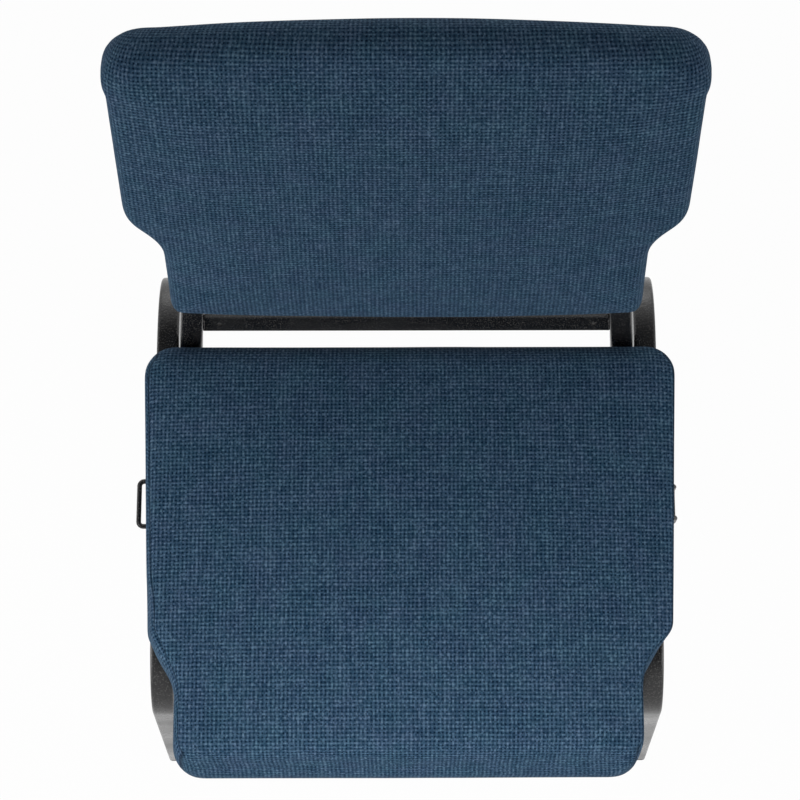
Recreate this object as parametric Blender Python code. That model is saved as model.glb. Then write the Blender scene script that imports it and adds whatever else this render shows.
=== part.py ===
import math

import bmesh
import bpy
from mathutils import Matrix, Vector

# Stacking church chair, upholstered seat and back on a bent square-tube frame.
# Metres, +Z up, the sitter faces -Y, the origin is on the floor below the middle of the chair.

# Fits
GAP = 0.0003                    # air between pieces that touch
SCREW_CLEARANCE = 0.0004        # round a screw in a drilled hole

# Square frame tube
TUBE = 0.0222
TUBE_WALL = 0.0015
TUBE_CORNER = 0.0032
CORNER_STEPS = 2
BEND_STEPS = 8
SHARP_EDGE = math.radians(40.0)

# Leg hoops: front leg, side rail and rear leg in one bent tube
RAIL_HEIGHT = 0.405             # middle of the side rails
HOOP_HALF_WIDTH = 0.2525        # to the outer face of a side rail
FOOT_HALF_WIDTH = 0.2695        # to the outer face of a foot at the floor
FRONT_LEG_Y = -0.2335           # where the front leg's line meets the rail's line
FRONT_FOOT_Y = -0.2325
FRONT_BEND = 0.055
REAR_LEG_Y = 0.180
REAR_FOOT_Y = 0.306
REAR_BEND = 0.075

# Floor glides
GLIDE_HEIGHT = 0.006
GLIDE_PLUG = 0.020              # length of the plug inside the tube
GLIDE_PLUG_TAPER = 0.0015

# Back uprights: bent tubes welded along the inside of the side rails
UPRIGHT_FRONT_Y = -0.060
UPRIGHT_DROP = 0.008            # their run under the seat sits this much below the side rails
UPRIGHT_BEND_Y = 0.1154
UPRIGHT_BEND = 0.040
UPRIGHT_LENGTH = 0.348          # from the bend's corner to the top end
RECLINE = math.radians(18.0)
UPRIGHT_LEAN = math.radians(5.0)

# Flat bar across the uprights, just behind the seat
BAR_HEIGHT = 0.0225
BAR_THICKNESS = 0.0055
BAR_RISE = 0.0574               # its middle, along the back from the bend's corner
BAR_HOLE_RADIUS = 0.0030
BAR_HOLE_INSET = 0.0160
BAR_EDGE = 0.0006

# Cross rails under the seat
FRONT_RAIL_Y = -0.150
REAR_RAIL_Y = 0.020

# Stacking bumpers under the side rails
BUMPER_Y = -0.105
BUMPER_LENGTH = 0.034
BUMPER_WIDTH = 0.020
BUMPER_HEIGHT = 0.005
BUMPER_PEG_RADIUS = 0.0040
BUMPER_PEG_LENGTH = 0.0080
BUMPER_EDGE = 0.0016

# Ganging wire: a loop on the left rail, a drop hook on the right rail
WIRE = 0.0050
WIRE_BEND = 0.0045
WIRE_SIDES = 10
WIRE_BEND_STEPS = 4
GANG_Y = -0.041
GANG_REACH = 0.0170             # from the rail's face to the wire's outer side
LOOP_SPAN = 0.0510              # outside to outside
HOOK_SPAN = 0.0370
HOOK_DROP = 0.0220
GANG_PASS = 0.0010              # air between a hook and the next chair's loop below it

# Fabric and dust cover
FABRIC = 0.0012
DUST_COVER = 0.0008
DUST_COVER_MARGIN = 0.009       # from the seat's outline

# Seat pad, plan outline
SEAT_REAR_Y = 0.1075
SEAT_FRONT_Y = -0.316
SEAT_REAR_HALF = 0.2620
SEAT_NOTCH_HALF = 0.2515
SEAT_FRONT_HALF = 0.2235
NOTCH_START_Y = -0.180
NOTCH_END_Y = -0.228
SEAT_REAR_CORNER = 0.025
NOTCH_OUTER_CORNER = 0.016
NOTCH_INNER_CORNER = 0.050
SEAT_FRONT_CORNER = 0.028

# Seat pad, section
SEAT_BOARD = 0.012
SEAT_EDGE = 0.046               # underside to the edge of the top panel
SEAT_CROWN = 0.014              # rise of the top panel to its middle
SEAT_CROWN_POWER = 2.6          # how flat the panel stays before it falls to its edges
SEAT_BULGE = 0.0015             # side panels stand out between their seams
SEAT_REAR_ROUND = 0.018
SEAT_SIDE_ROUND = 0.008
SEAT_FRONT_ROUND = 0.026
SEAT_HEM = 0.026                # cloth turned under the board
SEAT_EDGE_LENGTH = 0.075        # longest straight facet of the outline
SEAT_CORNER_STEPS = (3, 3, 3, 4)
SEAT_TOP_RINGS = (0.90, 0.72, 0.46, 0.20)
SEAT_ROUND_ANGLES = (0.0, 30.0, 60.0, 90.0)

# Back pad, outline along the back from the bend's corner
BACK_BOTTOM = 0.1165
BACK_TOP = 0.4870
BACK_LOWER_HALF = 0.2290
BACK_UPPER_HALF = 0.2615
BACK_WAIST = 0.2224
BACK_SHOULDER = 0.2604
BACK_BOTTOM_CORNER = 0.0060
BACK_WAIST_CORNER = 0.050
BACK_SHOULDER_CORNER = 0.034
BACK_TOP_CORNER = 0.048
BACK_ARCH = 0.011               # rise of the top edge towards its middle
BACK_EDGE_LENGTH = 0.055
BACK_CORNER_STEPS = (3, 3, 3, 5)

# Back pad, section
BACK_BOARD = 0.009
BACK_FOAM = 0.019
BACK_REAR_FOAM = 0.005
BACK_CROWN = 0.008
BACK_LOW_CROWN = 0.4            # share of the crown left at the bottom edge
BACK_FRONT_ROUND = 0.022
BACK_REAR_ROUND = 0.010
BACK_HIGH_REAR_ROUND = 0.020    # the rear edge is rounder at the top corners
BACK_FRONT_SHARE = 0.50         # most of the thickness either rounding may take
BACK_REAR_SHARE = 0.42
BACK_TOP_ROUND = 0.028
BACK_BOTTOM_ROUND = 0.018
BACK_MOUTH = 0.0012             # from the uprights to the turned hem below the pad
BACK_REAR_ROLL = 0.6            # share of the cloth behind the uprights that rolls under
BACK_FACE_STEPS = 5
BACK_ROUND_STEPS = 3

# Screws and tee nuts
SCREW_RADIUS = 0.0029
SCREW_HEAD_RADIUS = 0.0055
SCREW_HEAD_HEIGHT = 0.0030
SCREW_TIP = 0.0010              # short of the tee nut's flange
NUT_BORE_CLEARANCE = 0.0003
NUT_BARREL_WALL = 0.0012
NUT_FLANGE_RADIUS = 0.0085
NUT_FLANGE = 0.0014
TURNED_SIDES = 12
SEAT_SCREW_X = 0.150
BACK_SCREW_RISES = (0.173, 0.313)

# Places that follow from the sizes
RAIL_X = HOOP_HALF_WIDTH - TUBE / 2
FOOT_X = FOOT_HALF_WIDTH - TUBE / 2
RAIL_TOP = RAIL_HEIGHT + TUBE / 2
RAIL_BOTTOM = RAIL_HEIGHT - TUBE / 2
UPRIGHT_X = RAIL_X - TUBE - GAP
UPRIGHT_HEIGHT = RAIL_HEIGHT - UPRIGHT_DROP
TUBE_BORE = TUBE - 2 * TUBE_WALL
DUST_COVER_BOTTOM = RAIL_TOP + GAP
SEAT_BASE = DUST_COVER_BOTTOM + DUST_COVER + GAP
SEAT_BOARD_BOTTOM = SEAT_BASE + FABRIC + GAP
SEAT_BOARD_TOP = SEAT_BOARD_BOTTOM + SEAT_BOARD
SEAT_TOP_EDGE = SEAT_BASE + SEAT_EDGE
SEAT_MIDDLE_Y = (SEAT_REAR_Y + SEAT_FRONT_Y) / 2
SEAT_HALF_DEPTH = (SEAT_REAR_Y - SEAT_FRONT_Y) / 2
BACK_BOARD_REAR = -TUBE / 2 - GAP
BACK_BOARD_FRONT = BACK_BOARD_REAR - BACK_BOARD
BACK_FRONT = BACK_BOARD_FRONT - GAP - BACK_FOAM - GAP - FABRIC
BACK_REAR = TUBE / 2 + GAP + BACK_REAR_FOAM + GAP + FABRIC
BACK_SLOT = TUBE / 2 + BACK_MOUTH
CORE_INSET = FABRIC + GAP
NUT_BORE = SCREW_RADIUS + NUT_BORE_CLEARANCE
NUT_BARREL = NUT_BORE + NUT_BARREL_WALL
SIDES = (("left", -1), ("right", 1))


# Materials

def make_material(name, color, roughness, metallic=0.0):
    material = bpy.data.materials.new(name)
    material.use_nodes = True
    shader = material.node_tree.nodes["Principled BSDF"]
    shader.inputs["Base Color"].default_value = (*color, 1.0)
    shader.inputs["Roughness"].default_value = roughness
    shader.inputs["Metallic"].default_value = metallic
    return material


def make_materials():
    return {
        "frame": make_material("black_vein_paint", (0.012, 0.012, 0.013), 0.32),
        "fabric": make_material("blue_weave", (0.038, 0.082, 0.155), 0.9),
        "foam": make_material("cream_foam", (0.72, 0.66, 0.50), 0.95),
        "board": make_material("plywood", (0.52, 0.36, 0.20), 0.7),
        "plastic": make_material("black_nylon", (0.015, 0.015, 0.016), 0.45),
        "rubber": make_material("black_rubber", (0.02, 0.02, 0.02), 0.8),
        "steel": make_material("zinc_steel", (0.60, 0.60, 0.58), 0.35, 1.0),
        "lining": make_material("black_lining", (0.02, 0.02, 0.022), 0.95),
    }


# Mesh helpers

def add_piece(name, vertices, faces, material, parent=None):
    mesh = bpy.data.meshes.new(name)
    mesh.from_pydata([tuple(v) for v in vertices], [], faces)
    shell = bmesh.new()
    shell.from_mesh(mesh)
    bmesh.ops.recalc_face_normals(shell, faces=shell.faces)
    shell.to_mesh(mesh)
    shell.free()
    return place_mesh(name, mesh, material, parent)


def place_mesh(name, mesh, material, parent=None):
    mesh.shade_smooth()
    mesh.set_sharp_from_angle(angle=SHARP_EDGE)
    mesh.materials.append(material)
    piece = bpy.data.objects.new(name, mesh)
    bpy.context.scene.collection.objects.link(piece)
    piece.parent = parent
    return piece


def combine(piece, tool, operation):
    tool.hide_render = True
    tool.display_type = "WIRE"
    step = piece.modifiers.new(tool.name, "BOOLEAN")
    step.operation = operation
    step.solver = "EXACT"
    step.object = tool


def soften_edges(piece, width):
    bevel = piece.modifiers.new("edges", "BEVEL")
    bevel.width = width
    bevel.segments = 2
    bevel.limit_method = "ANGLE"


def rounded_path(corners, radii, steps):
    # Open polyline whose inner corners become arcs; steps is one count for each arc.
    points = [corners[0].copy()]
    for index, radius in enumerate(radii):
        corner = corners[index + 1]
        back = (corners[index] - corner).normalized()
        ahead = (corners[index + 2] - corner).normalized()
        opening = back.angle(ahead)
        reach = radius / math.tan(opening / 2)
        centre = corner + (back + ahead).normalized() * radius / math.sin(opening / 2)
        first = corner + back * reach - centre
        last = corner + ahead * reach - centre
        turn = math.pi - opening
        for step in range(steps[index] + 1):
            share = step / steps[index]
            arm = first * math.sin((1 - share) * turn) + last * math.sin(share * turn)
            points.append(centre + arm / math.sin(turn))
    points.append(corners[-1].copy())
    return points


def divide_long_edges(points, longest):
    divided = [points[0]]
    for start, end in zip(points, points[1:]):
        count = max(1, math.ceil((end - start).length / longest))
        for step in range(1, count + 1):
            divided.append(start.lerp(end, step / count))
    return divided


def band_faces(rings, count, closed=False):
    faces = []
    last = len(rings) if closed else len(rings) - 1
    for ring in range(last):
        low = ring * count
        high = ((ring + 1) % len(rings)) * count
        for step in range(count):
            following = (step + 1) % count
            faces.append((low + step, low + following, high + following, high + step))
    return faces


# Tubes and wires

def rounded_square(size, radius):
    half = size / 2 - radius
    points = []
    for quarter in range(4):
        middle = math.radians(45.0 + 90.0 * quarter)
        centre_u = half * math.copysign(1, math.cos(middle))
        centre_v = half * math.copysign(1, math.sin(middle))
        for step in range(CORNER_STEPS + 1):
            angle = math.radians(90.0 * (quarter + step / CORNER_STEPS))
            points.append((centre_u + radius * math.cos(angle), centre_v + radius * math.sin(angle)))
    return points


def round_section(diameter, sides):
    angles = [2 * math.pi * step / sides for step in range(sides)]
    return [(diameter / 2 * math.cos(a), diameter / 2 * math.sin(a)) for a in angles]


def path_directions(path):
    directions = []
    for index in range(len(path)):
        before = path[max(index - 1, 0)]
        after = path[min(index + 1, len(path) - 1)]
        if 0 < index < len(path) - 1:
            direction = (path[index] - before).normalized() + (after - path[index]).normalized()
        else:
            direction = after - before
        directions.append(direction.normalized())
    return directions


def section_ring(centre, direction, section, side_hint):
    side = (side_hint - direction * side_hint.dot(direction)).normalized()
    rise = direction.cross(side)
    return [centre + side * u + rise * v for u, v in section]


def on_level(ring, direction, height):
    # Slide a ring along the tube until it lies on one level, as a tube is cut to stand on a floor.
    return [point + direction * ((height - point.z) / direction.z) for point in ring]


def sweep_rings(path, section, side_hint):
    directions = path_directions(path)
    return [section_ring(p, d, section, side_hint) for p, d in zip(path, directions)]


def hollow_sweep(name, outer_rings, inner_rings, material, parent=None):
    count = len(outer_rings[0])
    loop = outer_rings + inner_rings[::-1]
    vertices = [point for ring in loop for point in ring]
    return add_piece(name, vertices, band_faces(loop, count, closed=True), material, parent)


def solid_sweep(name, rings, material, parent=None):
    count = len(rings[0])
    vertices = [point for ring in rings for point in ring]
    faces = band_faces(rings, count)
    faces.append(tuple(range(count)))
    faces.append(tuple(range(len(vertices) - count, len(vertices))))
    return add_piece(name, vertices, faces, material, parent)


def tube_sections():
    bore_corner = max(TUBE_CORNER - TUBE_WALL, TUBE_WALL / 2)
    return rounded_square(TUBE, TUBE_CORNER), rounded_square(TUBE_BORE, bore_corner)


# Turned pieces

def turned_geometry(profile, places, ring=False):
    # A profile of (radius, height) pairs, spun about Z and put at each place; a ring closes on itself.
    vertices = []
    faces = []
    count = len(profile)
    for place in places:
        base = len(vertices)
        for step in range(TURNED_SIDES):
            angle = 2 * math.pi * step / TURNED_SIDES
            for radius, height in profile:
                spun = Vector((radius * math.cos(angle), radius * math.sin(angle), height))
                vertices.append(place @ spun)
        for step in range(TURNED_SIDES):
            here = base + step * count
            following = base + ((step + 1) % TURNED_SIDES) * count
            for level in range(count if ring else count - 1):
                above = (level + 1) % count
                faces.append((here + level, following + level, following + above, here + above))
        if not ring:
            faces.append(tuple(base + step * count for step in range(TURNED_SIDES)))
            faces.append(tuple(base + step * count + count - 1 for step in range(TURNED_SIDES)))
    return vertices, faces


def drill(piece, name, profile, places, parent=None):
    vertices, faces = turned_geometry(profile, places)
    cutter = add_piece(name, vertices, faces, piece.data.materials[0], parent)
    combine(piece, cutter, "DIFFERENCE")


# Frame

def hoop_path(side):
    corners = [
        Vector((side * FOOT_X, FRONT_FOOT_Y, 0.0)),
        Vector((side * RAIL_X, FRONT_LEG_Y, RAIL_HEIGHT)),
        Vector((side * RAIL_X, REAR_LEG_Y, RAIL_HEIGHT)),
        Vector((side * FOOT_X, REAR_FOOT_Y, 0.0)),
    ]
    return rounded_path(corners, (FRONT_BEND, REAR_BEND), (BEND_STEPS, BEND_STEPS))


def make_leg_hoop(label, side, materials):
    path = hoop_path(side)
    directions = path_directions(path)
    across = Vector((1, 0, 0))
    shells = []
    for section in tube_sections():
        rings = sweep_rings(path, section, across)
        rings[0] = on_level(rings[0], directions[0], GLIDE_HEIGHT)
        rings[-1] = on_level(rings[-1], directions[-1], GLIDE_HEIGHT)
        shells.append(rings)
    hoop = hollow_sweep(label + "_leg_hoop", shells[0], shells[1], materials["frame"])
    peg_hole = [
        (BUMPER_PEG_RADIUS + GAP, RAIL_BOTTOM - TUBE_WALL),
        (BUMPER_PEG_RADIUS + GAP, RAIL_BOTTOM + 2 * TUBE_WALL),
    ]
    place = Matrix.Translation((side * RAIL_X, BUMPER_Y, 0.0))
    drill(hoop, label + "_bumper_hole", peg_hole, [place])


def make_glide(label, foot, direction, materials):
    # A push-in plug with a pad that covers the tube's end; the pad's sole is level.
    across = Vector((1, 0, 0))
    pad = rounded_square(TUBE, TUBE_CORNER)
    plug_size = TUBE_BORE - 2 * GAP
    plug = rounded_square(plug_size, TUBE_CORNER - TUBE_WALL)
    tip = rounded_square(plug_size - 2 * GLIDE_PLUG_TAPER, TUBE_CORNER - TUBE_WALL)
    pad_top = GLIDE_HEIGHT - GAP
    rings = [
        section_ring(foot - direction * (GLIDE_HEIGHT + GLIDE_PLUG), direction, tip, across),
        section_ring(foot - direction * GLIDE_PLUG, direction, plug, across),
        on_level(section_ring(foot, direction, plug, across), direction, pad_top),
        on_level(section_ring(foot, direction, pad, across), direction, pad_top),
        on_level(section_ring(foot, direction, pad, across), direction, 0.0),
    ]
    solid_sweep(label + "_glide", rings, materials["plastic"])


def make_glides(materials):
    for label, side in SIDES:
        path = hoop_path(side)
        directions = path_directions(path)
        make_glide("front_" + label, path[0], -directions[0], materials)
        make_glide("rear_" + label, path[-1], directions[-1], materials)


def make_bumper(label, side, materials):
    half_x = BUMPER_WIDTH / 2
    half_y = BUMPER_LENGTH / 2
    top = RAIL_BOTTOM - GAP
    bottom = top - BUMPER_HEIGHT
    pad = bmesh.new()
    bmesh.ops.create_cube(pad, size=1.0)
    bmesh.ops.scale(pad, vec=(2 * half_x, 2 * half_y, BUMPER_HEIGHT), verts=pad.verts)
    bmesh.ops.translate(pad, vec=(side * RAIL_X, BUMPER_Y, (top + bottom) / 2), verts=pad.verts)
    lower = [edge for edge in pad.edges if not all(abs(v.co.z - top) < GAP for v in edge.verts)]
    bmesh.ops.bevel(pad, geom=lower, offset=BUMPER_EDGE, segments=2, affect="EDGES", profile=0.5)
    mesh = bpy.data.meshes.new(label + "_stacking_bumper")
    pad.to_mesh(mesh)
    pad.free()
    bumper = place_mesh(label + "_stacking_bumper", mesh, materials["rubber"])
    peg = [(BUMPER_PEG_RADIUS, bottom + BUMPER_HEIGHT / 2), (BUMPER_PEG_RADIUS, bottom + BUMPER_PEG_LENGTH)]
    place = Matrix.Translation((side * RAIL_X, BUMPER_Y, 0.0))
    vertices, faces = turned_geometry(peg, [place])
    stem = add_piece(label + "_bumper_peg", vertices, faces, materials["rubber"])
    combine(bumper, stem, "UNION")


def back_matrix():
    # The back's own frame: X across, Y to the rear, Z up along the reclined uprights.
    return Matrix.Translation((0.0, UPRIGHT_BEND_Y, UPRIGHT_HEIGHT)) @ Matrix.Rotation(-RECLINE, 4, "X")


def upright_at(side, rise):
    return Vector((side * (UPRIGHT_X - rise * math.tan(UPRIGHT_LEAN)), 0.0, rise))


def upright_path(side):
    to_world = back_matrix()
    corners = [
        Vector((side * UPRIGHT_X, UPRIGHT_FRONT_Y, UPRIGHT_HEIGHT)),
        Vector((side * UPRIGHT_X, UPRIGHT_BEND_Y, UPRIGHT_HEIGHT)),
        to_world @ upright_at(side, UPRIGHT_LENGTH),
    ]
    return rounded_path(corners, (UPRIGHT_BEND,), (BEND_STEPS,))


def back_screw_places():
    places = {}
    for label, side in SIDES:
        for level, rise in zip(("lower", "upper"), BACK_SCREW_RISES):
            places[level + "_" + label] = Matrix.Translation(upright_at(side, rise))
    return places


def make_upright(label, side, materials, back_frame):
    path = upright_path(side)
    across = Vector((1, 0, 0))
    outer, inner = [sweep_rings(path, section, across) for section in tube_sections()]
    upright = hollow_sweep(label + "_back_upright", outer, inner, materials["frame"])
    hole = SCREW_RADIUS + SCREW_CLEARANCE
    bore = [(hole, -TUBE), (hole, TUBE)]
    rearward = Matrix.Rotation(-math.pi / 2, 4, "X")
    places = [Matrix.Translation(upright_at(side, rise)) @ rearward for rise in BACK_SCREW_RISES]
    drill(upright, label + "_upright_holes", bore, places, back_frame)


def make_cross_rail(name, y, half_length, materials):
    path = [Vector((-half_length, y, RAIL_HEIGHT)), Vector((half_length, y, RAIL_HEIGHT))]
    rise = Vector((0, 0, 1))
    outer, inner = [sweep_rings(path, section, rise) for section in tube_sections()]
    rail = hollow_sweep(name, outer, inner, materials["frame"])
    hole = SCREW_RADIUS + SCREW_CLEARANCE
    bore = [(hole, RAIL_BOTTOM - TUBE_WALL), (hole, RAIL_TOP + TUBE_WALL)]
    places = [Matrix.Translation((side * SEAT_SCREW_X, y, 0.0)) for _, side in SIDES]
    drill(rail, name + "_holes", bore, places)


def make_rear_bar(materials, back_frame):
    ends = []
    for edge in (-BAR_HEIGHT / 2, BAR_HEIGHT / 2):
        inner_face = upright_at(1, BAR_RISE + edge).x - TUBE / 2 / math.cos(UPRIGHT_LEAN)
        ends.append((inner_face - GAP / math.cos(UPRIGHT_LEAN), BAR_RISE + edge))
    (low_x, low_z), (high_x, high_z) = ends
    outline = [(-low_x, low_z), (low_x, low_z), (high_x, high_z), (-high_x, high_z)]
    half = BAR_THICKNESS / 2
    vertices = [(x, y, z) for y in (-half, half) for x, z in outline]
    faces = band_faces((0, 1), 4) + [(0, 1, 2, 3), (4, 5, 6, 7)]
    bar = add_piece("rear_cross_bar", vertices, faces, materials["frame"], back_frame)
    soften_edges(bar, BAR_EDGE)
    middle_x = (low_x + high_x) / 2
    bore = [(BAR_HOLE_RADIUS, -BAR_THICKNESS), (BAR_HOLE_RADIUS, BAR_THICKNESS)]
    rearward = Matrix.Rotation(-math.pi / 2, 4, "X")
    places = []
    for _, side in SIDES:
        spot = Matrix.Translation((side * (middle_x - BAR_HOLE_INSET), 0.0, BAR_RISE))
        places.append(spot @ rearward)
    drill(bar, "bar_holes", bore, places, back_frame)


def make_wire(name, corners, side_hint, materials):
    inner = len(corners) - 2
    path = rounded_path(corners, (WIRE_BEND,) * inner, (WIRE_BEND_STEPS,) * inner)
    section = round_section(WIRE, WIRE_SIDES)
    directions = path_directions(path)
    # The section is carried along the wire by the turn from each stretch to the next.
    side = side_hint
    rings = []
    for index, (point, direction) in enumerate(zip(path, directions)):
        if index:
            side = directions[index - 1].rotation_difference(direction) @ side
        rings.append(section_ring(point, direction, section, side))
    solid_sweep(name, rings, materials["frame"])


def make_ganging(materials):
    start = HOOP_HALF_WIDTH + GAP
    reach = HOOP_HALF_WIDTH + GANG_REACH - WIRE / 2
    rear = GANG_Y + (LOOP_SPAN - WIRE) / 2
    front = GANG_Y - (LOOP_SPAN - WIRE) / 2
    loop = [(-start, rear), (-reach, rear), (-reach, front), (-start, front)]
    step = (WIRE + GANG_PASS) / 2
    corners = [Vector((x, y, RAIL_HEIGHT - step)) for x, y in loop]
    make_wire("ganging_loop", corners, Vector((0, 0, 1)), materials)
    rear = GANG_Y + (HOOK_SPAN - WIRE) / 2
    front = GANG_Y - (HOOK_SPAN - WIRE) / 2
    high = RAIL_HEIGHT + step
    low = high - HOOK_DROP
    hook = [
        Vector((start, rear, high)),
        Vector((reach, rear, high)),
        Vector((reach, rear, low)),
        Vector((reach, front, low)),
        Vector((reach, front, high)),
        Vector((start, front, high)),
    ]
    make_wire("ganging_hook", hook, Vector((0, 1, 0)), materials)


# Seat

def seat_outline():
    # Closed plan outline with, at each point, its outward normal.
    right = [
        (SEAT_REAR_HALF, SEAT_REAR_Y),
        (SEAT_NOTCH_HALF, NOTCH_START_Y),
        (SEAT_FRONT_HALF, NOTCH_END_Y),
        (SEAT_FRONT_HALF, SEAT_FRONT_Y),
    ]
    corners = [Vector((0.0, SEAT_REAR_Y, 0.0))]
    corners += [Vector((x, y, 0.0)) for x, y in right]
    corners.append(Vector((0.0, SEAT_FRONT_Y, 0.0)))
    radii = (SEAT_REAR_CORNER, NOTCH_OUTER_CORNER, NOTCH_INNER_CORNER, SEAT_FRONT_CORNER)
    half = rounded_path(corners, radii, SEAT_CORNER_STEPS)
    half = divide_long_edges(half, SEAT_EDGE_LENGTH)
    points = half + [Vector((-p.x, p.y, 0.0)) for p in half[-2:0:-1]]
    normals = []
    for index, point in enumerate(points):
        along = (points[(index + 1) % len(points)] - point).normalized()
        along += (point - points[index - 1]).normalized()
        normals.append(Vector((-along.y, along.x, 0.0)).normalized())
    return points, normals


def edge_rounding(point, normal):
    # The top panel rolls over at the front and the rear and meets a tight seam along the sides.
    if SEAT_FRONT_Y + SEAT_FRONT_CORNER < point.y < SEAT_REAR_Y - SEAT_REAR_CORNER:
        return SEAT_SIDE_ROUND
    full = SEAT_FRONT_ROUND if normal.y < 0 else SEAT_REAR_ROUND
    return SEAT_SIDE_ROUND + (full - SEAT_SIDE_ROUND) * normal.y ** 2


def crown_rise(x, y):
    across = 1 - (abs(x) / SEAT_REAR_HALF) ** SEAT_CROWN_POWER
    along = 1 - (abs(y - SEAT_MIDDLE_Y) / SEAT_HALF_DEPTH) ** SEAT_CROWN_POWER
    return SEAT_CROWN * max(across, 0.0) * max(along, 0.0)


def seat_rings(inset):
    # Rings from the seat's underside, up its wall and over the edge, to the crown.
    points, normals = seat_outline()
    rounds = [max(edge_rounding(p, n) - inset, FABRIC) for p, n in zip(points, normals)]
    edge = SEAT_TOP_EDGE - inset
    up = Vector((0, 0, 1))
    rings = []
    for height in (SEAT_BASE + inset, SEAT_BOARD_TOP):
        rings.append([p - n * inset + up * height for p, n in zip(points, normals)])
    wall = []
    for p, n, r in zip(points, normals, rounds):
        height = (SEAT_BOARD_TOP + edge - r) / 2
        wall.append(p - n * (inset - SEAT_BULGE) + up * height)
    rings.append(wall)
    for degrees in SEAT_ROUND_ANGLES:
        turn = math.radians(degrees)
        ring = []
        for p, n, r in zip(points, normals, rounds):
            spot = p - n * (inset + r * (1 - math.cos(turn)))
            rise = crown_rise(spot.x, spot.y) * math.sin(turn)
            ring.append(spot + up * (edge - r * (1 - math.sin(turn)) + rise))
        rings.append(ring)
    rim = rings[-1]
    for share in SEAT_TOP_RINGS:
        ring = []
        for p in rim:
            x = p.x * share
            y = SEAT_MIDDLE_Y + (p.y - SEAT_MIDDLE_Y) * share
            ring.append(Vector((x, y, edge + crown_rise(x, y))))
        rings.append(ring)
    return rings, Vector((0.0, SEAT_MIDDLE_Y, edge + SEAT_CROWN))


def crowned_solid(rings, crown):
    count = len(rings[0])
    vertices = [p for ring in rings for p in ring] + [crown]
    faces = band_faces(rings, count)
    last = (len(rings) - 1) * count
    for step in range(count):
        faces.append((last + step, last + (step + 1) % count, len(vertices) - 1))
    faces.append(tuple(range(count)))
    return vertices, faces


def hem_ring(ring, depth):
    span_x = 1 - depth / SEAT_FRONT_HALF
    span_y = 1 - depth / SEAT_HALF_DEPTH
    turned = []
    for p in ring:
        turned.append(Vector((p.x * span_x, SEAT_MIDDLE_Y + (p.y - SEAT_MIDDLE_Y) * span_y, p.z)))
    return turned


def make_seat_cover(materials):
    outer, outer_crown = seat_rings(0.0)
    inner, inner_crown = seat_rings(FABRIC)
    outer = [hem_ring(outer[0], SEAT_HEM)] + outer
    inner = [hem_ring(inner[0], SEAT_HEM)] + inner
    shells = outer[::-1] + inner
    count = len(outer[0])
    vertices = [p for ring in shells for p in ring] + [outer_crown, inner_crown]
    faces = band_faces(shells, count)
    top = 0
    under = (len(shells) - 1) * count
    for step in range(count):
        following = (step + 1) % count
        faces.append((top + step, top + following, len(vertices) - 2))
        faces.append((under + step, under + following, len(vertices) - 1))
    add_piece("seat_cover", vertices, faces, materials["fabric"])


def sliced_piece(name, geometry, cuts, material, parent=None):
    # The part of a closed form that lies between planes; each cut keeps the side its normal leaves.
    vertices, faces = geometry
    block = bmesh.new()
    corners = [block.verts.new(v) for v in vertices]
    for face in faces:
        block.faces.new([corners[i] for i in face])
    bmesh.ops.recalc_face_normals(block, faces=block.faces)
    for point, normal in cuts:
        geom = block.verts[:] + block.edges[:] + block.faces[:]
        bmesh.ops.bisect_plane(block, geom=geom, plane_co=point, plane_no=normal, clear_outer=True)
        open_edges = [edge for edge in block.edges if edge.is_boundary]
        bmesh.ops.edgeloop_fill(block, edges=open_edges)
    bmesh.ops.recalc_face_normals(block, faces=block.faces)
    mesh = bpy.data.meshes.new(name)
    block.to_mesh(mesh)
    block.free()
    return place_mesh(name, mesh, material, parent)


def nut_socket(thickness):
    # Drilled hole with a shallow seat for the tee nut's flange on its far side.
    barrel = NUT_BARREL + GAP
    flange = NUT_FLANGE_RADIUS + GAP
    seat = thickness - NUT_FLANGE - 2 * GAP
    return [(barrel, -thickness), (barrel, seat), (flange, seat), (flange, 2 * thickness)]


def seat_screw_spots():
    spots = {}
    for row, y in (("front", FRONT_RAIL_Y), ("rear", REAR_RAIL_Y)):
        for label, side in SIDES:
            spots[row + "_" + label] = (side * SEAT_SCREW_X, y)
    return spots


def make_seat_inside(materials):
    core = crowned_solid(*seat_rings(CORE_INSET))
    up = Vector((0, 0, 1))
    board_cuts = [(up * SEAT_BOARD_BOTTOM, -up), (up * SEAT_BOARD_TOP, up)]
    board = sliced_piece("seat_board", core, board_cuts, materials["board"])
    foam_cuts = [(up * (SEAT_BOARD_TOP + GAP), -up)]
    sliced_piece("seat_foam", core, foam_cuts, materials["foam"])
    spots = seat_screw_spots()
    places = [Matrix.Translation((x, y, SEAT_BOARD_BOTTOM)) for x, y in spots.values()]
    drill(board, "seat_board_holes", nut_socket(SEAT_BOARD), places)


def make_dust_cover(materials):
    points, normals = seat_outline()
    edge = [p - n * DUST_COVER_MARGIN for p, n in zip(points, normals)]
    rings = []
    for height in (DUST_COVER_BOTTOM, DUST_COVER_BOTTOM + DUST_COVER):
        rings.append([Vector((p.x, p.y, height)) for p in edge])
    lining = solid_sweep("seat_dust_cover", rings, materials["lining"])
    hole = SCREW_RADIUS + SCREW_CLEARANCE
    bore = [(hole, DUST_COVER_BOTTOM - DUST_COVER), (hole, DUST_COVER_BOTTOM + 2 * DUST_COVER)]
    places = [Matrix.Translation((x, y, 0.0)) for x, y in seat_screw_spots().values()]
    drill(lining, "dust_cover_holes", bore, places)


# Back

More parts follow.
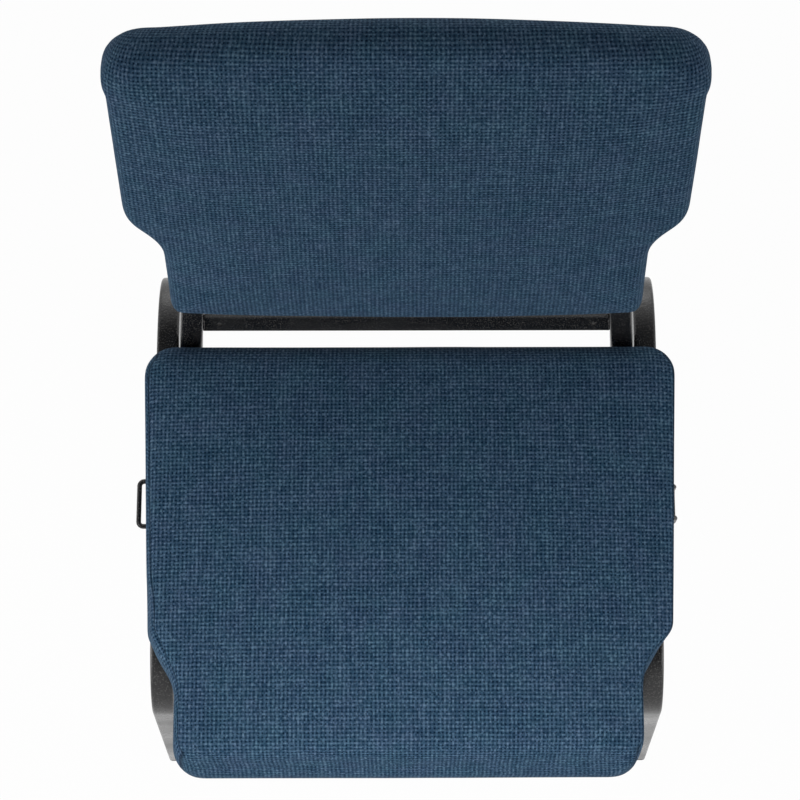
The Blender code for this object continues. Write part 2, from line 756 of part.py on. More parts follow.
def back_levels():
    # Half outline of the back from its bottom corner to its top corner, with outward normals.
    corners = [
        Vector((BACK_LOWER_HALF / 2, 0.0, BACK_BOTTOM)),
        Vector((BACK_LOWER_HALF, 0.0, BACK_BOTTOM)),
        Vector((BACK_LOWER_HALF, 0.0, BACK_WAIST)),
        Vector((BACK_UPPER_HALF, 0.0, BACK_SHOULDER)),
        Vector((BACK_UPPER_HALF, 0.0, BACK_TOP)),
        Vector((BACK_UPPER_HALF / 2, 0.0, BACK_TOP)),
    ]
    radii = (BACK_BOTTOM_CORNER, BACK_WAIST_CORNER, BACK_SHOULDER_CORNER, BACK_TOP_CORNER)
    points = rounded_path(corners, radii, BACK_CORNER_STEPS)
    points = [points[0]] + divide_long_edges(points[1:-1], BACK_EDGE_LENGTH) + [points[-1]]
    levels = []
    for before, point, after in zip(points, points[1:], points[2:]):
        along = (point - before).normalized() + (after - point).normalized()
        levels.append((point, Vector((along.z, 0.0, -along.x)).normalized()))
    # The very top closes over a narrow flat, so the last level stops just short of it.
    return levels[:-1]


def section_loop(half_width, front, rear, rear_edge_round, crown):
    # Closed section across the back, front side first: round corners, crowned front.
    thickness = rear - front
    front_round = min(BACK_FRONT_ROUND, thickness * BACK_FRONT_SHARE, half_width)
    rear_round = min(rear_edge_round, thickness * BACK_REAR_SHARE)
    steps = BACK_ROUND_STEPS
    loop = []
    for step in range(steps + 1):
        turn = math.pi / 2 * step / steps
        x = half_width - front_round * (1 - math.sin(turn))
        loop.append((x, front + front_round * (1 - math.cos(turn))))
    for step in range(steps + 1):
        turn = math.pi / 2 * step / steps
        x = half_width - rear_round * (1 - math.cos(turn))
        loop.append((x, rear - rear_round * (1 - math.sin(turn))))
    rear_edge = half_width - rear_round
    for step in range(1, BACK_FACE_STEPS):
        loop.append((rear_edge * (1 - 2 * step / BACK_FACE_STEPS), rear))
    mirrored = [(-x, y) for x, y in loop[2 * steps + 1::-1]]
    loop += mirrored
    front_edge = half_width - front_round
    for step in range(1, BACK_FACE_STEPS):
        x = -front_edge * (1 - 2 * step / BACK_FACE_STEPS)
        loop.append((x, front - crown * (1 - (x / front_edge) ** 2)))
    return loop


def round_share(distance, radius):
    if distance >= radius:
        return 1.0
    return math.sqrt(max(1 - ((radius - distance) / radius) ** 2, 0.0))


def back_rings(inset):
    front = BACK_FRONT + inset
    rear = BACK_REAR - inset
    middle = (front + rear) / 2
    half_depth = (rear - front) / 2
    top = BACK_TOP - inset
    bottom = BACK_BOTTOM + inset
    rings = []
    for point, normal in back_levels():
        spot = point - normal * inset
        top_share = round_share(top - spot.z, BACK_TOP_ROUND - inset)
        bottom_share = round_share(spot.z - bottom, BACK_BOTTOM_ROUND - inset)
        roll = 1 - bottom_share
        low_front = middle - half_depth * top_share + (BACK_BOTTOM_ROUND - inset) * roll
        low_rear = middle + half_depth * top_share - BACK_REAR_ROLL * (rear - BACK_SLOT) * roll
        height = max(0.0, (spot.z - BACK_SHOULDER) / (BACK_TOP - BACK_SHOULDER))
        lift = BACK_ARCH * height
        rear_round = BACK_REAR_ROUND + (BACK_HIGH_REAR_ROUND - BACK_REAR_ROUND) * height
        crown = BACK_CROWN * top_share * (BACK_LOW_CROWN + (1 - BACK_LOW_CROWN) * bottom_share)
        ring = []
        for x, y in section_loop(spot.x, low_front, low_rear, rear_round, crown):
            ring.append(Vector((x, y, spot.z + lift * (1 - (x / spot.x) ** 2))))
        rings.append(ring)
    return rings


def mouth_ring(ring):
    # The hem below the pad, drawn in to the uprights on both sides.
    low = ring[0].z
    return [Vector((p.x, max(-BACK_SLOT, min(BACK_SLOT, p.y)), low)) for p in ring]


def cap_faces(base):
    # Close a section loop with strips that run from its front side to its rear side.
    corner = 2 * (BACK_ROUND_STEPS + 1)
    face = BACK_FACE_STEPS - 1
    right = [base + i for i in range(corner)]
    rear = [base + corner + i for i in range(face)]
    left = [base + corner + face + i for i in range(corner)]
    front = [base + 2 * corner + face + i for i in range(face)]
    half = corner // 2
    faces = []
    for side in (right, left):
        for step in range(half - 1):
            faces.append((side[step], side[step + 1], side[corner - 2 - step], side[corner - 1 - step]))
    rear_row = [right[-1]] + rear + [left[0]]
    front_row = [right[0]] + front[::-1] + [left[-1]]
    for step in range(len(rear_row) - 1):
        faces.append((front_row[step], front_row[step + 1], rear_row[step + 1], rear_row[step]))
    return faces


def make_back_cover(materials, back_frame):
    outer = back_rings(0.0)
    inner = back_rings(FABRIC)
    outer = [mouth_ring(outer[0])] + outer
    inner = [mouth_ring(inner[0])] + inner
    shells = outer[::-1] + inner
    count = len(outer[0])
    vertices = [p for ring in shells for p in ring]
    faces = band_faces(shells, count)
    faces += cap_faces(0)
    faces += cap_faces(len(vertices) - count)
    add_piece("back_cover", vertices, faces, materials["fabric"], back_frame)


def make_back_inside(materials, back_frame):
    rings = back_rings(CORE_INSET)
    count = len(rings[0])
    vertices = [p for ring in rings for p in ring]
    faces = band_faces(rings, count)
    faces += cap_faces(0)
    faces += cap_faces(len(vertices) - count)
    core = (vertices, faces)
    rearward = Vector((0, 1, 0))
    foam_cuts = [(rearward * (BACK_BOARD_FRONT - GAP), rearward)]
    sliced_piece("back_front_foam", core, foam_cuts, materials["foam"], back_frame)
    board_cuts = [(rearward * BACK_BOARD_FRONT, -rearward), (rearward * BACK_BOARD_REAR, rearward)]
    board = sliced_piece("back_board", core, board_cuts, materials["board"], back_frame)
    rear_cuts = [(rearward * (BACK_BOARD_REAR + GAP), -rearward)]
    rear_foam = sliced_piece("back_rear_foam", core, rear_cuts, materials["foam"], back_frame)
    forward = Matrix.Rotation(math.pi / 2, 4, "X")
    rear_face = Matrix.Translation((0.0, BACK_BOARD_REAR, 0.0))
    seats = [place @ rear_face @ forward for place in back_screw_places().values()]
    drill(board, "back_board_holes", nut_socket(BACK_BOARD), seats, back_frame)
    hollow_rear_foam(rear_foam, materials, back_frame)


def hollow_rear_foam(rear_foam, materials, back_frame):
    # Channels for the uprights, and pockets for the screw heads behind them.
    across = Vector((1, 0, 0))
    channel = rounded_square(TUBE + 2 * GAP, TUBE_CORNER)
    for label, side in SIDES:
        path = [upright_at(side, 0.0), upright_at(side, UPRIGHT_LENGTH + GAP)]
        rings = sweep_rings(path, channel, across)
        cutter = solid_sweep(label + "_upright_channel", rings, materials["foam"], back_frame)
        combine(rear_foam, cutter, "DIFFERENCE")
    pocket_floor = TUBE / 2 + SCREW_HEAD_HEIGHT + 2 * GAP
    pocket_radius = SCREW_HEAD_RADIUS + GAP
    pocket = [(pocket_radius, 0.0), (pocket_radius, pocket_floor)]
    rearward = Matrix.Rotation(-math.pi / 2, 4, "X")
    places = [place @ rearward for place in back_screw_places().values()]
    drill(rear_foam, "screw_head_pockets", pocket, places, back_frame)


# Fasteners

def screw_profile(grip):
    tip = SCREW_RADIUS / 3
    crown = SCREW_HEAD_HEIGHT / 3
    return [
        (SCREW_HEAD_RADIUS - crown, -SCREW_HEAD_HEIGHT),
        (SCREW_HEAD_RADIUS, -SCREW_HEAD_HEIGHT + crown),
        (SCREW_HEAD_RADIUS, 0.0),
        (SCREW_RADIUS, 0.0),
        (SCREW_RADIUS, grip - tip),
        (SCREW_RADIUS - tip, grip),
    ]


def nut_profile(thickness):
    flange_top = thickness - GAP
    flange_seat = flange_top - NUT_FLANGE
    return [
        (NUT_BORE, GAP),
        (NUT_BARREL, GAP),
        (NUT_BARREL, flange_seat),
        (NUT_FLANGE_RADIUS, flange_seat),
        (NUT_FLANGE_RADIUS, flange_top),
        (NUT_BORE, flange_top),
    ]


def make_fastener(name, profile, place, material, ring=False, parent=None):
    vertices, faces = turned_geometry(profile, [place], ring)
    add_piece(name, vertices, faces, material, parent)


def make_seat_fasteners(materials):
    head_seat = RAIL_BOTTOM - GAP
    grip = SEAT_BOARD_TOP - NUT_FLANGE - SCREW_TIP - head_seat
    for label, (x, y) in seat_screw_spots().items():
        screw_place = Matrix.Translation((x, y, head_seat))
        nut_place = Matrix.Translation((x, y, SEAT_BOARD_BOTTOM))
        make_fastener("seat_screw_" + label, screw_profile(grip), screw_place, materials["steel"])
        make_fastener("seat_tee_nut_" + label, nut_profile(SEAT_BOARD), nut_place, materials["steel"], True)


def make_back_fasteners(materials, back_frame):
    head_seat = TUBE / 2 + GAP
    grip = head_seat - BACK_BOARD_FRONT - NUT_FLANGE - SCREW_TIP
    forward = Matrix.Rotation(math.pi / 2, 4, "X")
    for label, place in back_screw_places().items():
        screw_place = place @ Matrix.Translation((0.0, head_seat, 0.0)) @ forward
        nut_place = place @ Matrix.Translation((0.0, BACK_BOARD_REAR, 0.0)) @ forward
        screw = screw_profile(grip)
        nut = nut_profile(BACK_BOARD)
        make_fastener("back_screw_" + label, screw, screw_place, materials["steel"], False, back_frame)
        make_fastener("back_tee_nut_" + label, nut, nut_place, materials["steel"], True, back_frame)


def build_chair():
    for leftover in list(bpy.data.objects):
        bpy.data.objects.remove(leftover, do_unlink=True)
    materials = make_materials()
    back_frame = bpy.data.objects.new("back_frame", None)
    back_frame.matrix_world = back_matrix()
    bpy.context.scene.collection.objects.link(back_frame)
    for label, side in SIDES:
        make_leg_hoop(label, side, materials)
        make_bumper(label, side, materials)
        make_upright(label, side, materials, back_frame)
    make_glides(materials)
    front_half = HOOP_HALF_WIDTH - TUBE - GAP
    rear_half = UPRIGHT_X - TUBE / 2 - GAP
    make_cross_rail("front_seat_rail", FRONT_RAIL_Y, front_half, materials)
    make_cross_rail("rear_seat_rail", REAR_RAIL_Y, rear_half, materials)
    make_rear_bar(materials, back_frame)
    make_ganging(materials)
    make_seat_inside(materials)
    make_seat_cover(materials)
    make_dust_cover(materials)
    make_seat_fasteners(materials)
    make_back_inside(materials, back_frame)
    make_back_cover(materials, back_frame)
    make_back_fasteners(materials, back_frame)


build_chair()
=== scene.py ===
import math

import bpy
import numpy as np
from mathutils import Matrix, Vector, noise


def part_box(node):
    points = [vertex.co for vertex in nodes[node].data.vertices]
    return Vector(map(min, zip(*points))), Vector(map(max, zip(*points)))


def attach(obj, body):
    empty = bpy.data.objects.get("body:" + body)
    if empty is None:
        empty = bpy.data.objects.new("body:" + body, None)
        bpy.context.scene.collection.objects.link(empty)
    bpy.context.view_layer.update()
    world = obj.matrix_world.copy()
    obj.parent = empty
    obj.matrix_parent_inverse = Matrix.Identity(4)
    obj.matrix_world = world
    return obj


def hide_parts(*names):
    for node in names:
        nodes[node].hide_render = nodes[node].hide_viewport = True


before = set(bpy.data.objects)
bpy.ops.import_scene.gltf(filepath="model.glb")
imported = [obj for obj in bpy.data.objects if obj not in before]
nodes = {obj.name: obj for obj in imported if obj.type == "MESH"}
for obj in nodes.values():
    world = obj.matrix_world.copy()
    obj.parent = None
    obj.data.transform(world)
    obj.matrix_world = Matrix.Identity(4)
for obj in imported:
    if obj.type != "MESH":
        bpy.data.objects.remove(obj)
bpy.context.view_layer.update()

# Church chair: blue woven pads on a black vein-painted tube frame. Metres, Z up, the sitter faces -Y.
scene = bpy.context.scene
print("frame loaded:", len(nodes), "nodes")


# Camera, softboxes, floor and world

cameraSet = {
    "place": (0.0, -0.6115, 2.767),
    "target": (0.0, 0.05, 0.46),
    "lens": 109.6, "sensor": 36.0,
    "shift": (-0.0082, -0.0003),
    "roll": math.radians(-0.1),
}
softboxSet = {
    "nearKey": {
        "place": (0.0, -0.785, 0.753), "target": (0.0, -0.25, 0.535), "size": (0.6, 0.3),
        "watts": 0.62, "spread": 144.0, "mirrored": False,
    },
    "seatKey": {
        "place": (0.0, -0.62, 1.00), "target": (0.0, -0.30, 0.46), "size": (0.7, 0.3),
        "watts": 0.35, "spread": 60.0, "mirrored": False,
    },
    "leftSoftbox": {
        "place": (-1.0, -0.40, 0.80), "target": (-0.2, -0.05, 0.5), "size": (0.5, 0.9),
        "watts": 3.1, "spread": 140.0, "mirrored": True,
    },
    "rightSoftbox": {
        "place": (1.0, -0.40, 0.80), "target": (0.2, -0.05, 0.5), "size": (0.5, 0.9),
        "watts": 1.75, "spread": 140.0, "mirrored": True,
    },
    "rearSoftbox": {
        "place": (0.0, 2.1, 0.75), "target": (0.0, 0.1, 0.5), "size": (1.4, 0.8),
        "watts": 4.2, "spread": 160.0, "mirrored": True,
    },
}
stageSet = {
    "floorHalf": 9.0,
    "floorColor": (0.86, 0.86, 0.86, 1.0),
    "whiteShare": 0.97,         # the rest of the floor's brightness still carries the shadow
    "ambient": 0.28,
    "ceiling": (0.10, 0.10, 0.10, 1.0),
    "wallTop": 0.55,            # height on the sky ball where the white wall starts to darken
    "ceilingEdge": 0.88,
}


def addNode(tree, kind, values=None, **settings):
    node = tree.nodes.new(kind)
    for key, value in settings.items():
        setattr(node, key, value)
    for key, value in (values or {}).items():
        feed(tree, node.inputs[key], value)
    return node


def feed(tree, socket, value):
    if isinstance(value, bpy.types.NodeSocket):
        tree.links.new(value, socket)
    else:
        socket.default_value = value


def calc(tree, operation, *values):
    node = tree.nodes.new("ShaderNodeMath")
    node.operation = operation
    for socket, value in zip(node.inputs, values):
        feed(tree, socket, value)
    return node.outputs[0]


def aimed(name, data, place, target):
    thing = bpy.data.objects.new(name, data)
    thing.location = place
    thing.rotation_euler = (Vector(target) - Vector(place)).to_track_quat("-Z", "Y").to_euler()
    scene.collection.objects.link(thing)
    return thing


def makeCamera():
    lens = bpy.data.cameras.new("photoCamera")
    lens.lens = cameraSet["lens"]
    lens.sensor_width = cameraSet["sensor"]
    lens.shift_x, lens.shift_y = cameraSet["shift"]
    scene.camera = aimed("photoCamera", lens, cameraSet["place"], cameraSet["target"])
    scene.camera.rotation_euler.rotate_axis("Z", cameraSet["roll"])


def makeSoftboxes():
    for name, box in softboxSet.items():
        lamp = bpy.data.lights.new(name, "AREA")
        lamp.shape = "RECTANGLE"
        lamp.size, lamp.size_y = box["size"]
        lamp.energy = box["watts"]
        lamp.spread = math.radians(box["spread"])
        stand = aimed(name, lamp, box["place"], box["target"])
        stand.visible_camera = False
        stand.visible_glossy = box["mirrored"]


def seenRays(tree):
    # 1 where a camera, mirror or glass ray looks at the surface
    path = tree.nodes.new("ShaderNodeLightPath")
    mirror = calc(tree, "MAXIMUM", path.outputs["Is Glossy Ray"], path.outputs["Is Transmission Ray"])
    return calc(tree, "MAXIMUM", path.outputs["Is Camera Ray"], mirror)


def makeFloor():
    half = stageSet["floorHalf"]
    mesh = bpy.data.meshes.new("paleFloor")
    corners = [(-half, -half, 0), (half, -half, 0), (half, half, 0), (-half, half, 0)]
    mesh.from_pydata(corners, [], [(0, 1, 2, 3)])
    floor = bpy.data.objects.new("paleFloor", mesh)
    scene.collection.objects.link(floor)
    material = bpy.data.materials.new("paleFloor")
    material.use_nodes = True
    tree = material.node_tree
    tree.nodes.remove(tree.nodes["Principled BSDF"])
    matt = addNode(tree, "ShaderNodeBsdfDiffuse", {"Color": stageSet["floorColor"]})
    white = addNode(tree, "ShaderNodeEmission", {"Color": (1, 1, 1, 1), "Strength": 1.0})
    share = calc(tree, "MULTIPLY", seenRays(tree), stageSet["whiteShare"])
    mix = addNode(tree, "ShaderNodeMixShader", {0: share, 1: matt.outputs[0], 2: white.outputs[0]})
    tree.links.new(mix.outputs[0], tree.nodes["Material Output"].inputs["Surface"])
    mesh.materials.append(material)


def makeWorld():
    world = bpy.data.worlds.new("studio")
    scene.world = world
    world.use_nodes = True
    tree = world.node_tree
    tree.nodes.clear()
    leave = tree.nodes.new("ShaderNodeOutputWorld")
    around = addNode(tree, "ShaderNodeTexCoord")
    split = addNode(tree, "ShaderNodeSeparateXYZ", {0: around.outputs["Generated"]})
    fade = addNode(tree, "ShaderNodeValToRGB", {0: split.outputs["Z"]})
    wall, ceiling = fade.color_ramp.elements
    wall.position = stageSet["wallTop"]
    wall.color = (1, 1, 1, 1)
    ceiling.position = stageSet["ceilingEdge"]
    ceiling.color = stageSet["ceiling"]
    walls = addNode(tree, "ShaderNodeBackground", {"Color": fade.outputs[0], "Strength": 1.0})
    soft = addNode(tree, "ShaderNodeBackground", {"Color": (1, 1, 1, 1), "Strength": stageSet["ambient"]})
    mix = addNode(tree, "ShaderNodeMixShader", {0: seenRays(tree), 1: soft.outputs[0], 2: walls.outputs[0]})
    tree.links.new(mix.outputs[0], leave.inputs["Surface"])


scene.view_settings.view_transform = "Standard"
makeCamera()
makeSoftboxes()
makeFloor()
makeWorld()
print("stage, lamps and camera made")


# Shared shader groups

def newGroup(name, inputs, outputs):
    group = bpy.data.node_groups.new(name, "ShaderNodeTree")
    for label, kind, value in inputs:
        socket = group.interface.new_socket(name=label, in_out="INPUT", socket_type="NodeSocket" + kind)
        if value is not None:
            socket.default_value = value
    for label, kind in outputs:
        group.interface.new_socket(name=label, in_out="OUTPUT", socket_type="NodeSocket" + kind)
    entry = group.nodes.new("NodeGroupInput")
    leave = group.nodes.new("NodeGroupOutput")
    return group, entry.outputs, leave.inputs


def placeGroup(tree, group, values):
    node = tree.nodes.new("ShaderNodeGroup")
    node.node_tree = group
    for key, value in values.items():
        feed(tree, node.inputs[key], value)
    return node.outputs


def noiseAt(tree, where, scale, detail=2.0, roughness=0.5):
    values = {"Vector": where, "Scale": scale, "Detail": detail, "Roughness": roughness}
    return addNode(tree, "ShaderNodeTexNoise", values).outputs


def spread(tree, value, low, high, toLow, toHigh, smooth=False):
    values = {"Value": value, "From Min": low, "From Max": high, "To Min": toLow, "To Max": toHigh}
    node = addNode(tree, "ShaderNodeMapRange", values)
    node.interpolation_type = "SMOOTHSTEP" if smooth else "LINEAR"
    return node.outputs[0]


def mixColor(tree, share, first, second, blend="MIX"):
    node = addNode(tree, "ShaderNodeMix", data_type="RGBA", blend_type=blend)
    for index, value in ((0, share), (6, first), (7, second)):
        feed(tree, node.inputs[index], value)
    return node.outputs[2]


weaveForm = {
    "drift": 45.0,              # noise scale of the threads' slow wandering
    "slubStep": 3.17,           # keeps the slubs of neighbouring threads apart
    "slubRun": 0.07, "slubLayer": 4.0,
    "slubNoise": (1.0, 2.5, 0.6), "slubRange": (0.32, 0.68), "ridge": (-0.2, 0.9),
    "tilt": 0.12,
    "pit": (-0.95, -0.35),      # thread level where a pit closes
    "filled": 0.45, "filledPower": 2.0,
    "speckRate": 2.6,           # fibre specks per thread
    "speckTone": (0.76, 1.18), "speckPower": 3.0,
    "twillScale": 30.0, "twillRange": (0.4, 0.65), "twillGlow": 0.30,
    "heatherNoise": (26.0, 4.0, 0.65), "heatherRange": (0.36, 0.64), "heatherShare": 0.8,
    "heatherTints": ((0.93, 1.04, 1.0, 1), (1.06, 0.97, 1.02, 1)),
    "fibreScale": 1500.0, "fibreRange": (0.3, 0.7), "fibreTone": (0.8, 1.2),
    "levelRise": 0.5, "shineRise": 0.3, "fibreRise": 0.08, "rough": (0.94, 0.80),
    # Painted highlight shares of the thread colour: glow, crossGlow and twillGlow light the raised crossings,
    # slubGlow the slubs' ridges; speckGlow adds random bright specks
    "glow": 0.10, "crossGlow": 0.60, "slubGlow": 0.24, "speckGlow": 0.42,
}


def makeDotWeave():
    # Open plain weave: slubby threads with painted highlights where they cross and along the slubs' ridges,
    # and a dark pit in each square between them
    group, given, leave = newGroup(
        "dotWeave",
        [
            ("Cloth", "Vector", None), ("Pitch", "Float", 0.004),
            ("Wander", "Float", 0.2), ("Slub", "Float", 0.6),
            ("Thread", "Color", (0.03, 0.06, 0.1, 1)), ("Pale", "Color", (0.1, 0.15, 0.2, 1)),
            ("Gap", "Color", (0.002, 0.01, 0.03, 1)),
        ],
        [("Color", "Color"), ("Height", "Float"), ("Rough", "Float")],
    )
    tree, form = group, weaveForm
    split = addNode(tree, "ShaderNodeSeparateXYZ", {0: given["Cloth"]}).outputs
    wander = noiseAt(tree, given["Cloth"], form["drift"], 1.0)[1]
    drift = addNode(tree, "ShaderNodeSeparateColor", {0: wander}).outputs
    lines = []
    for axis in (0, 1):
        slip = calc(tree, "MULTIPLY", calc(tree, "SUBTRACT", drift[axis], 0.5), given["Wander"])
        lines.append(calc(tree, "ADD", calc(tree, "DIVIDE", split[axis], given["Pitch"]), slip))
    numbers, pits, nears, thicks, glints = [], [], [], [], []
    for axis in (0, 1):
        line, other = lines[axis], lines[1 - axis]
        number = calc(tree, "FLOOR", calc(tree, "ADD", line, 0.5))
        own = calc(tree, "MULTIPLY", number, form["slubStep"])
        run = calc(tree, "MULTIPLY", other, form["slubRun"])
        layer = form["slubLayer"] * axis
        spot = addNode(tree, "ShaderNodeCombineXYZ", {0: own, 1: run, 2: layer}).outputs[0]
        slub = spread(tree, noiseAt(tree, spot, *form["slubNoise"])[0], *form["slubRange"], 0.0, 1.0)
        near = calc(tree, "COSINE", calc(tree, "MULTIPLY", line, 2 * math.pi))
        swell = calc(tree, "MULTIPLY", calc(tree, "SUBTRACT", slub, 0.5), given["Slub"])
        numbers.append(number)
        pits.append(calc(tree, "FLOOR", line))
        nears.append(near)
        thicks.append(calc(tree, "ADD", near, swell))
        glints.append(calc(tree, "MULTIPLY", slub, spread(tree, near, *form["ridge"], 0.0, 1.0)))
    weft = calc(tree, "COSINE", calc(tree, "MULTIPLY", lines[1], math.pi))
    beat = calc(tree, "MULTIPLY", calc(tree, "COSINE", calc(tree, "MULTIPLY", lines[0], math.pi)), weft)
    tilt = calc(tree, "MULTIPLY", calc(tree, "SUBTRACT", nears[0], nears[1]), beat)
    level = calc(tree, "MULTIPLY", calc(tree, "ADD", thicks[0], thicks[1]), 0.5)
    level = calc(tree, "MULTIPLY_ADD", tilt, form["tilt"], level)
    body = spread(tree, level, *form["pit"], 0.0, 1.0, True)
    # Painted highlight mask: the higher the threads stand, the more of the crossings' highlight they get
    cross = spread(tree, level, 0.0, 1.0, 0.0, 1.0, True)
    flecks = []
    specks = [calc(tree, "FLOOR", calc(tree, "MULTIPLY", line, form["speckRate"])) for line in lines]
    for pair in (numbers, pits, specks):
        spot = addNode(tree, "ShaderNodeCombineXYZ", {0: pair[0], 1: pair[1]}).outputs[0]
        dice = addNode(tree, "ShaderNodeTexWhiteNoise", {"Vector": spot}, noise_dimensions="2D")
        flecks.append(dice.outputs[0])
    crossFleck, pitFleck, speck = flecks
    fill = calc(tree, "MULTIPLY", calc(tree, "POWER", pitFleck, form["filledPower"]), form["filled"])
    body = calc(tree, "MAXIMUM", body, fill)
    patches = noiseAt(tree, given["Cloth"], form["twillScale"])[0]
    twill = spread(tree, patches, *form["twillRange"], 0.0, form["twillGlow"])
    # Painted highlight on raised crossings: a base glow, the twill patches on one beat, and a random share
    # per crossing
    lit = calc(tree, "MULTIPLY_ADD", beat, twill, form["glow"])
    lit = calc(tree, "MULTIPLY_ADD", crossFleck, form["crossGlow"], lit)
    shine = calc(tree, "MULTIPLY", cross, lit)
    # Painted glints along the slubs' ridges
    shine = calc(tree, "MULTIPLY_ADD", calc(tree, "MAXIMUM", *glints), form["slubGlow"], shine)
    bright = calc(tree, "POWER", speck, form["speckPower"])
    shine = calc(tree, "MULTIPLY_ADD", bright, form["speckGlow"], shine)
    clouds = noiseAt(tree, given["Cloth"], *form["heatherNoise"])[0]
    heather = spread(tree, clouds, *form["heatherRange"], 0.0, 1.0)
    tint = mixColor(tree, heather, *form["heatherTints"])
    # Painted highlight: threads turn to the pale colour as far as shine goes
    thread = mixColor(tree, shine, given["Thread"], given["Pale"])
    thread = mixColor(tree, form["heatherShare"], thread, tint, "MULTIPLY")
    fibres = noiseAt(tree, given["Cloth"], form["fibreScale"])[0]
    fibre = spread(tree, fibres, *form["fibreRange"], *form["fibreTone"])
    uneven = calc(tree, "MULTIPLY", fibre, spread(tree, speck, 0.0, 1.0, *form["speckTone"]))
    gray = addNode(tree, "ShaderNodeCombineColor", {0: uneven, 1: uneven, 2: uneven}).outputs[0]
    thread = mixColor(tree, 1.0, thread, gray, "MULTIPLY")
    feed(tree, leave["Color"], mixColor(tree, body, given["Gap"], thread))
    raised = calc(tree, "MULTIPLY", shine, form["shineRise"])
    raised = calc(tree, "MULTIPLY_ADD", level, form["levelRise"], raised)
    feed(tree, leave["Height"], calc(tree, "MULTIPLY_ADD", fibre, form["fibreRise"], raised))
    feed(tree, leave["Rough"], spread(tree, shine, 0.0, 1.0, *form["rough"]))
    return group


grainForm = {
    "fine": (3.0, 0.6), "toneRange": (0.3, 0.7), "cellShare": 0.6,
    "fleckRate": 1.3, "fleckRange": (0.56, 0.68),
    "patchDetail": 3.0, "patchRange": (0.35, 0.65),
}


def makeGrain():
    # Fine uneven skin for paint, moulded parts, lining and plating
    group, given, leave = newGroup(
        "fineGrain",
        [("Scale", "Float", 500.0), ("Blotch", "Float", 12.0)],
        [("Height", "Float"), ("Tone", "Float"), ("Patch", "Float"), ("Fleck", "Float")],
    )
    tree, form = group, grainForm
    spot = addNode(tree, "ShaderNodeTexCoord").outputs["Object"]
    fine = noiseAt(tree, spot, given["Scale"], *form["fine"])[0]
    flaked = noiseAt(tree, spot, calc(tree, "MULTIPLY", given["Scale"], form["fleckRate"]), 1.0)[0]
    feed(tree, leave["Fleck"], spread(tree, flaked, *form["fleckRange"], 0.0, 1.0, True))
    values = {"Vector": spot, "Scale": given["Scale"]}
    cells = addNode(tree, "ShaderNodeTexVoronoi", values, feature="SMOOTH_F1").outputs["Distance"]
    feed(tree, leave["Height"], calc(tree, "MULTIPLY_ADD", cells, form["cellShare"], fine))
    feed(tree, leave["Tone"], spread(tree, fine, *form["toneRange"], 0.0, 1.0))
    blotches = noiseAt(tree, spot, given["Blotch"], form["patchDetail"])[0]
    feed(tree, leave["Patch"], spread(tree, blotches, *form["patchRange"], 0.0, 1.0))
    return group


dotWeave = makeDotWeave()
fineGrain = makeGrain()


# Materials

weaveSet = {
    "pitch": 0.00397,
    "wander": 0.22,
    "slub": 0.7,
    "thread": (0.0200, 0.0605, 0.1160, 1),
    # pale: the thread colour where the weave paints its highlights and random specks
    "pale": (0.114, 0.187, 0.272, 1),
    "gap": (0.0012, 0.0080, 0.0260, 1),
    # Painted shade in the seam's groove: seam is the dark colour mixed into the cloth along the seamShade
    # attribute
    "seam": (0.004, 0.009, 0.018, 1),
    "seamShadeFrom": 0.35, "seamShadeMost": 0.6,
    "bump": 0.0006, "bumpShare": 0.7,
    "specular": 0.12,
    "sheen": 0.06, "sheenRough": 0.45, "sheenTint": (0.55, 0.72, 1.0, 1),
}
finishSet = {
    # fleckAndSparkle: light specks in the base colour; on the vein paint they are painted sparkle, the glints
    # of its textured coat
    "veinPaint": {
        "dark": (0.006, 0.006, 0.007, 1), "light": (0.015, 0.015, 0.016, 1), "fleckAndSparkle": (0.075, 0.073, 0.07, 1),
        "rough": (0.20, 0.34), "scale": 560.0, "bump": 0.00020, "metallic": 0.0, "specular": 0.5,
    },
    "blackNylon": {
        "dark": (0.012, 0.012, 0.013, 1), "light": (0.024, 0.024, 0.025, 1), "fleckAndSparkle": (0.03, 0.03, 0.031, 1),
        "rough": (0.42, 0.58), "scale": 1400.0, "bump": 0.00006, "metallic": 0.0, "specular": 0.45,
    },
    "bumperRubber": {
        "dark": (0.014, 0.014, 0.014, 1), "light": (0.03, 0.029, 0.028, 1), "fleckAndSparkle": (0.036, 0.035, 0.034, 1),
        "rough": (0.70, 0.88), "scale": 900.0, "bump": 0.00008, "metallic": 0.0, "specular": 0.35,
    },
    "zincPlate": {
        "dark": (0.46, 0.46, 0.44, 1), "light": (0.66, 0.65, 0.62, 1), "fleckAndSparkle": (0.70, 0.69, 0.66, 1),
        "rough": (0.26, 0.44), "scale": 1100.0, "bump": 0.00003, "metallic": 1.0, "specular": 0.5,
    },
    "dustLining": {
        "dark": (0.01, 0.01, 0.011, 1), "light": (0.034, 0.034, 0.036, 1), "fleckAndSparkle": (0.045, 0.045, 0.047, 1),
        "rough": (0.85, 0.98), "scale": 800.0, "bump": 0.00020, "metallic": 0.0, "specular": 0.2,
    },
}
plywoodSet = {
    "dark": (0.36, 0.22, 0.11, 1), "light": (0.66, 0.48, 0.28, 1), "rough": (0.62, 0.80),
    "stretch": (1.0, 14.0, 60.0), "grain": (14.0, 5.0, 0.6), "grainRange": (0.3, 0.7), "bump": 0.0002,
}


def newMaterial(name):
    material = bpy.data.materials.new(name)
    material.use_nodes = True
    return material, material.node_tree, material.node_tree.nodes["Principled BSDF"].inputs


def addBump(tree, shader, height, distance, strength=1.0):
    bump = addNode(tree, "ShaderNodeBump", {"Height": height, "Distance": distance, "Strength": strength})
    feed(tree, shader["Normal"], bump.outputs[0])


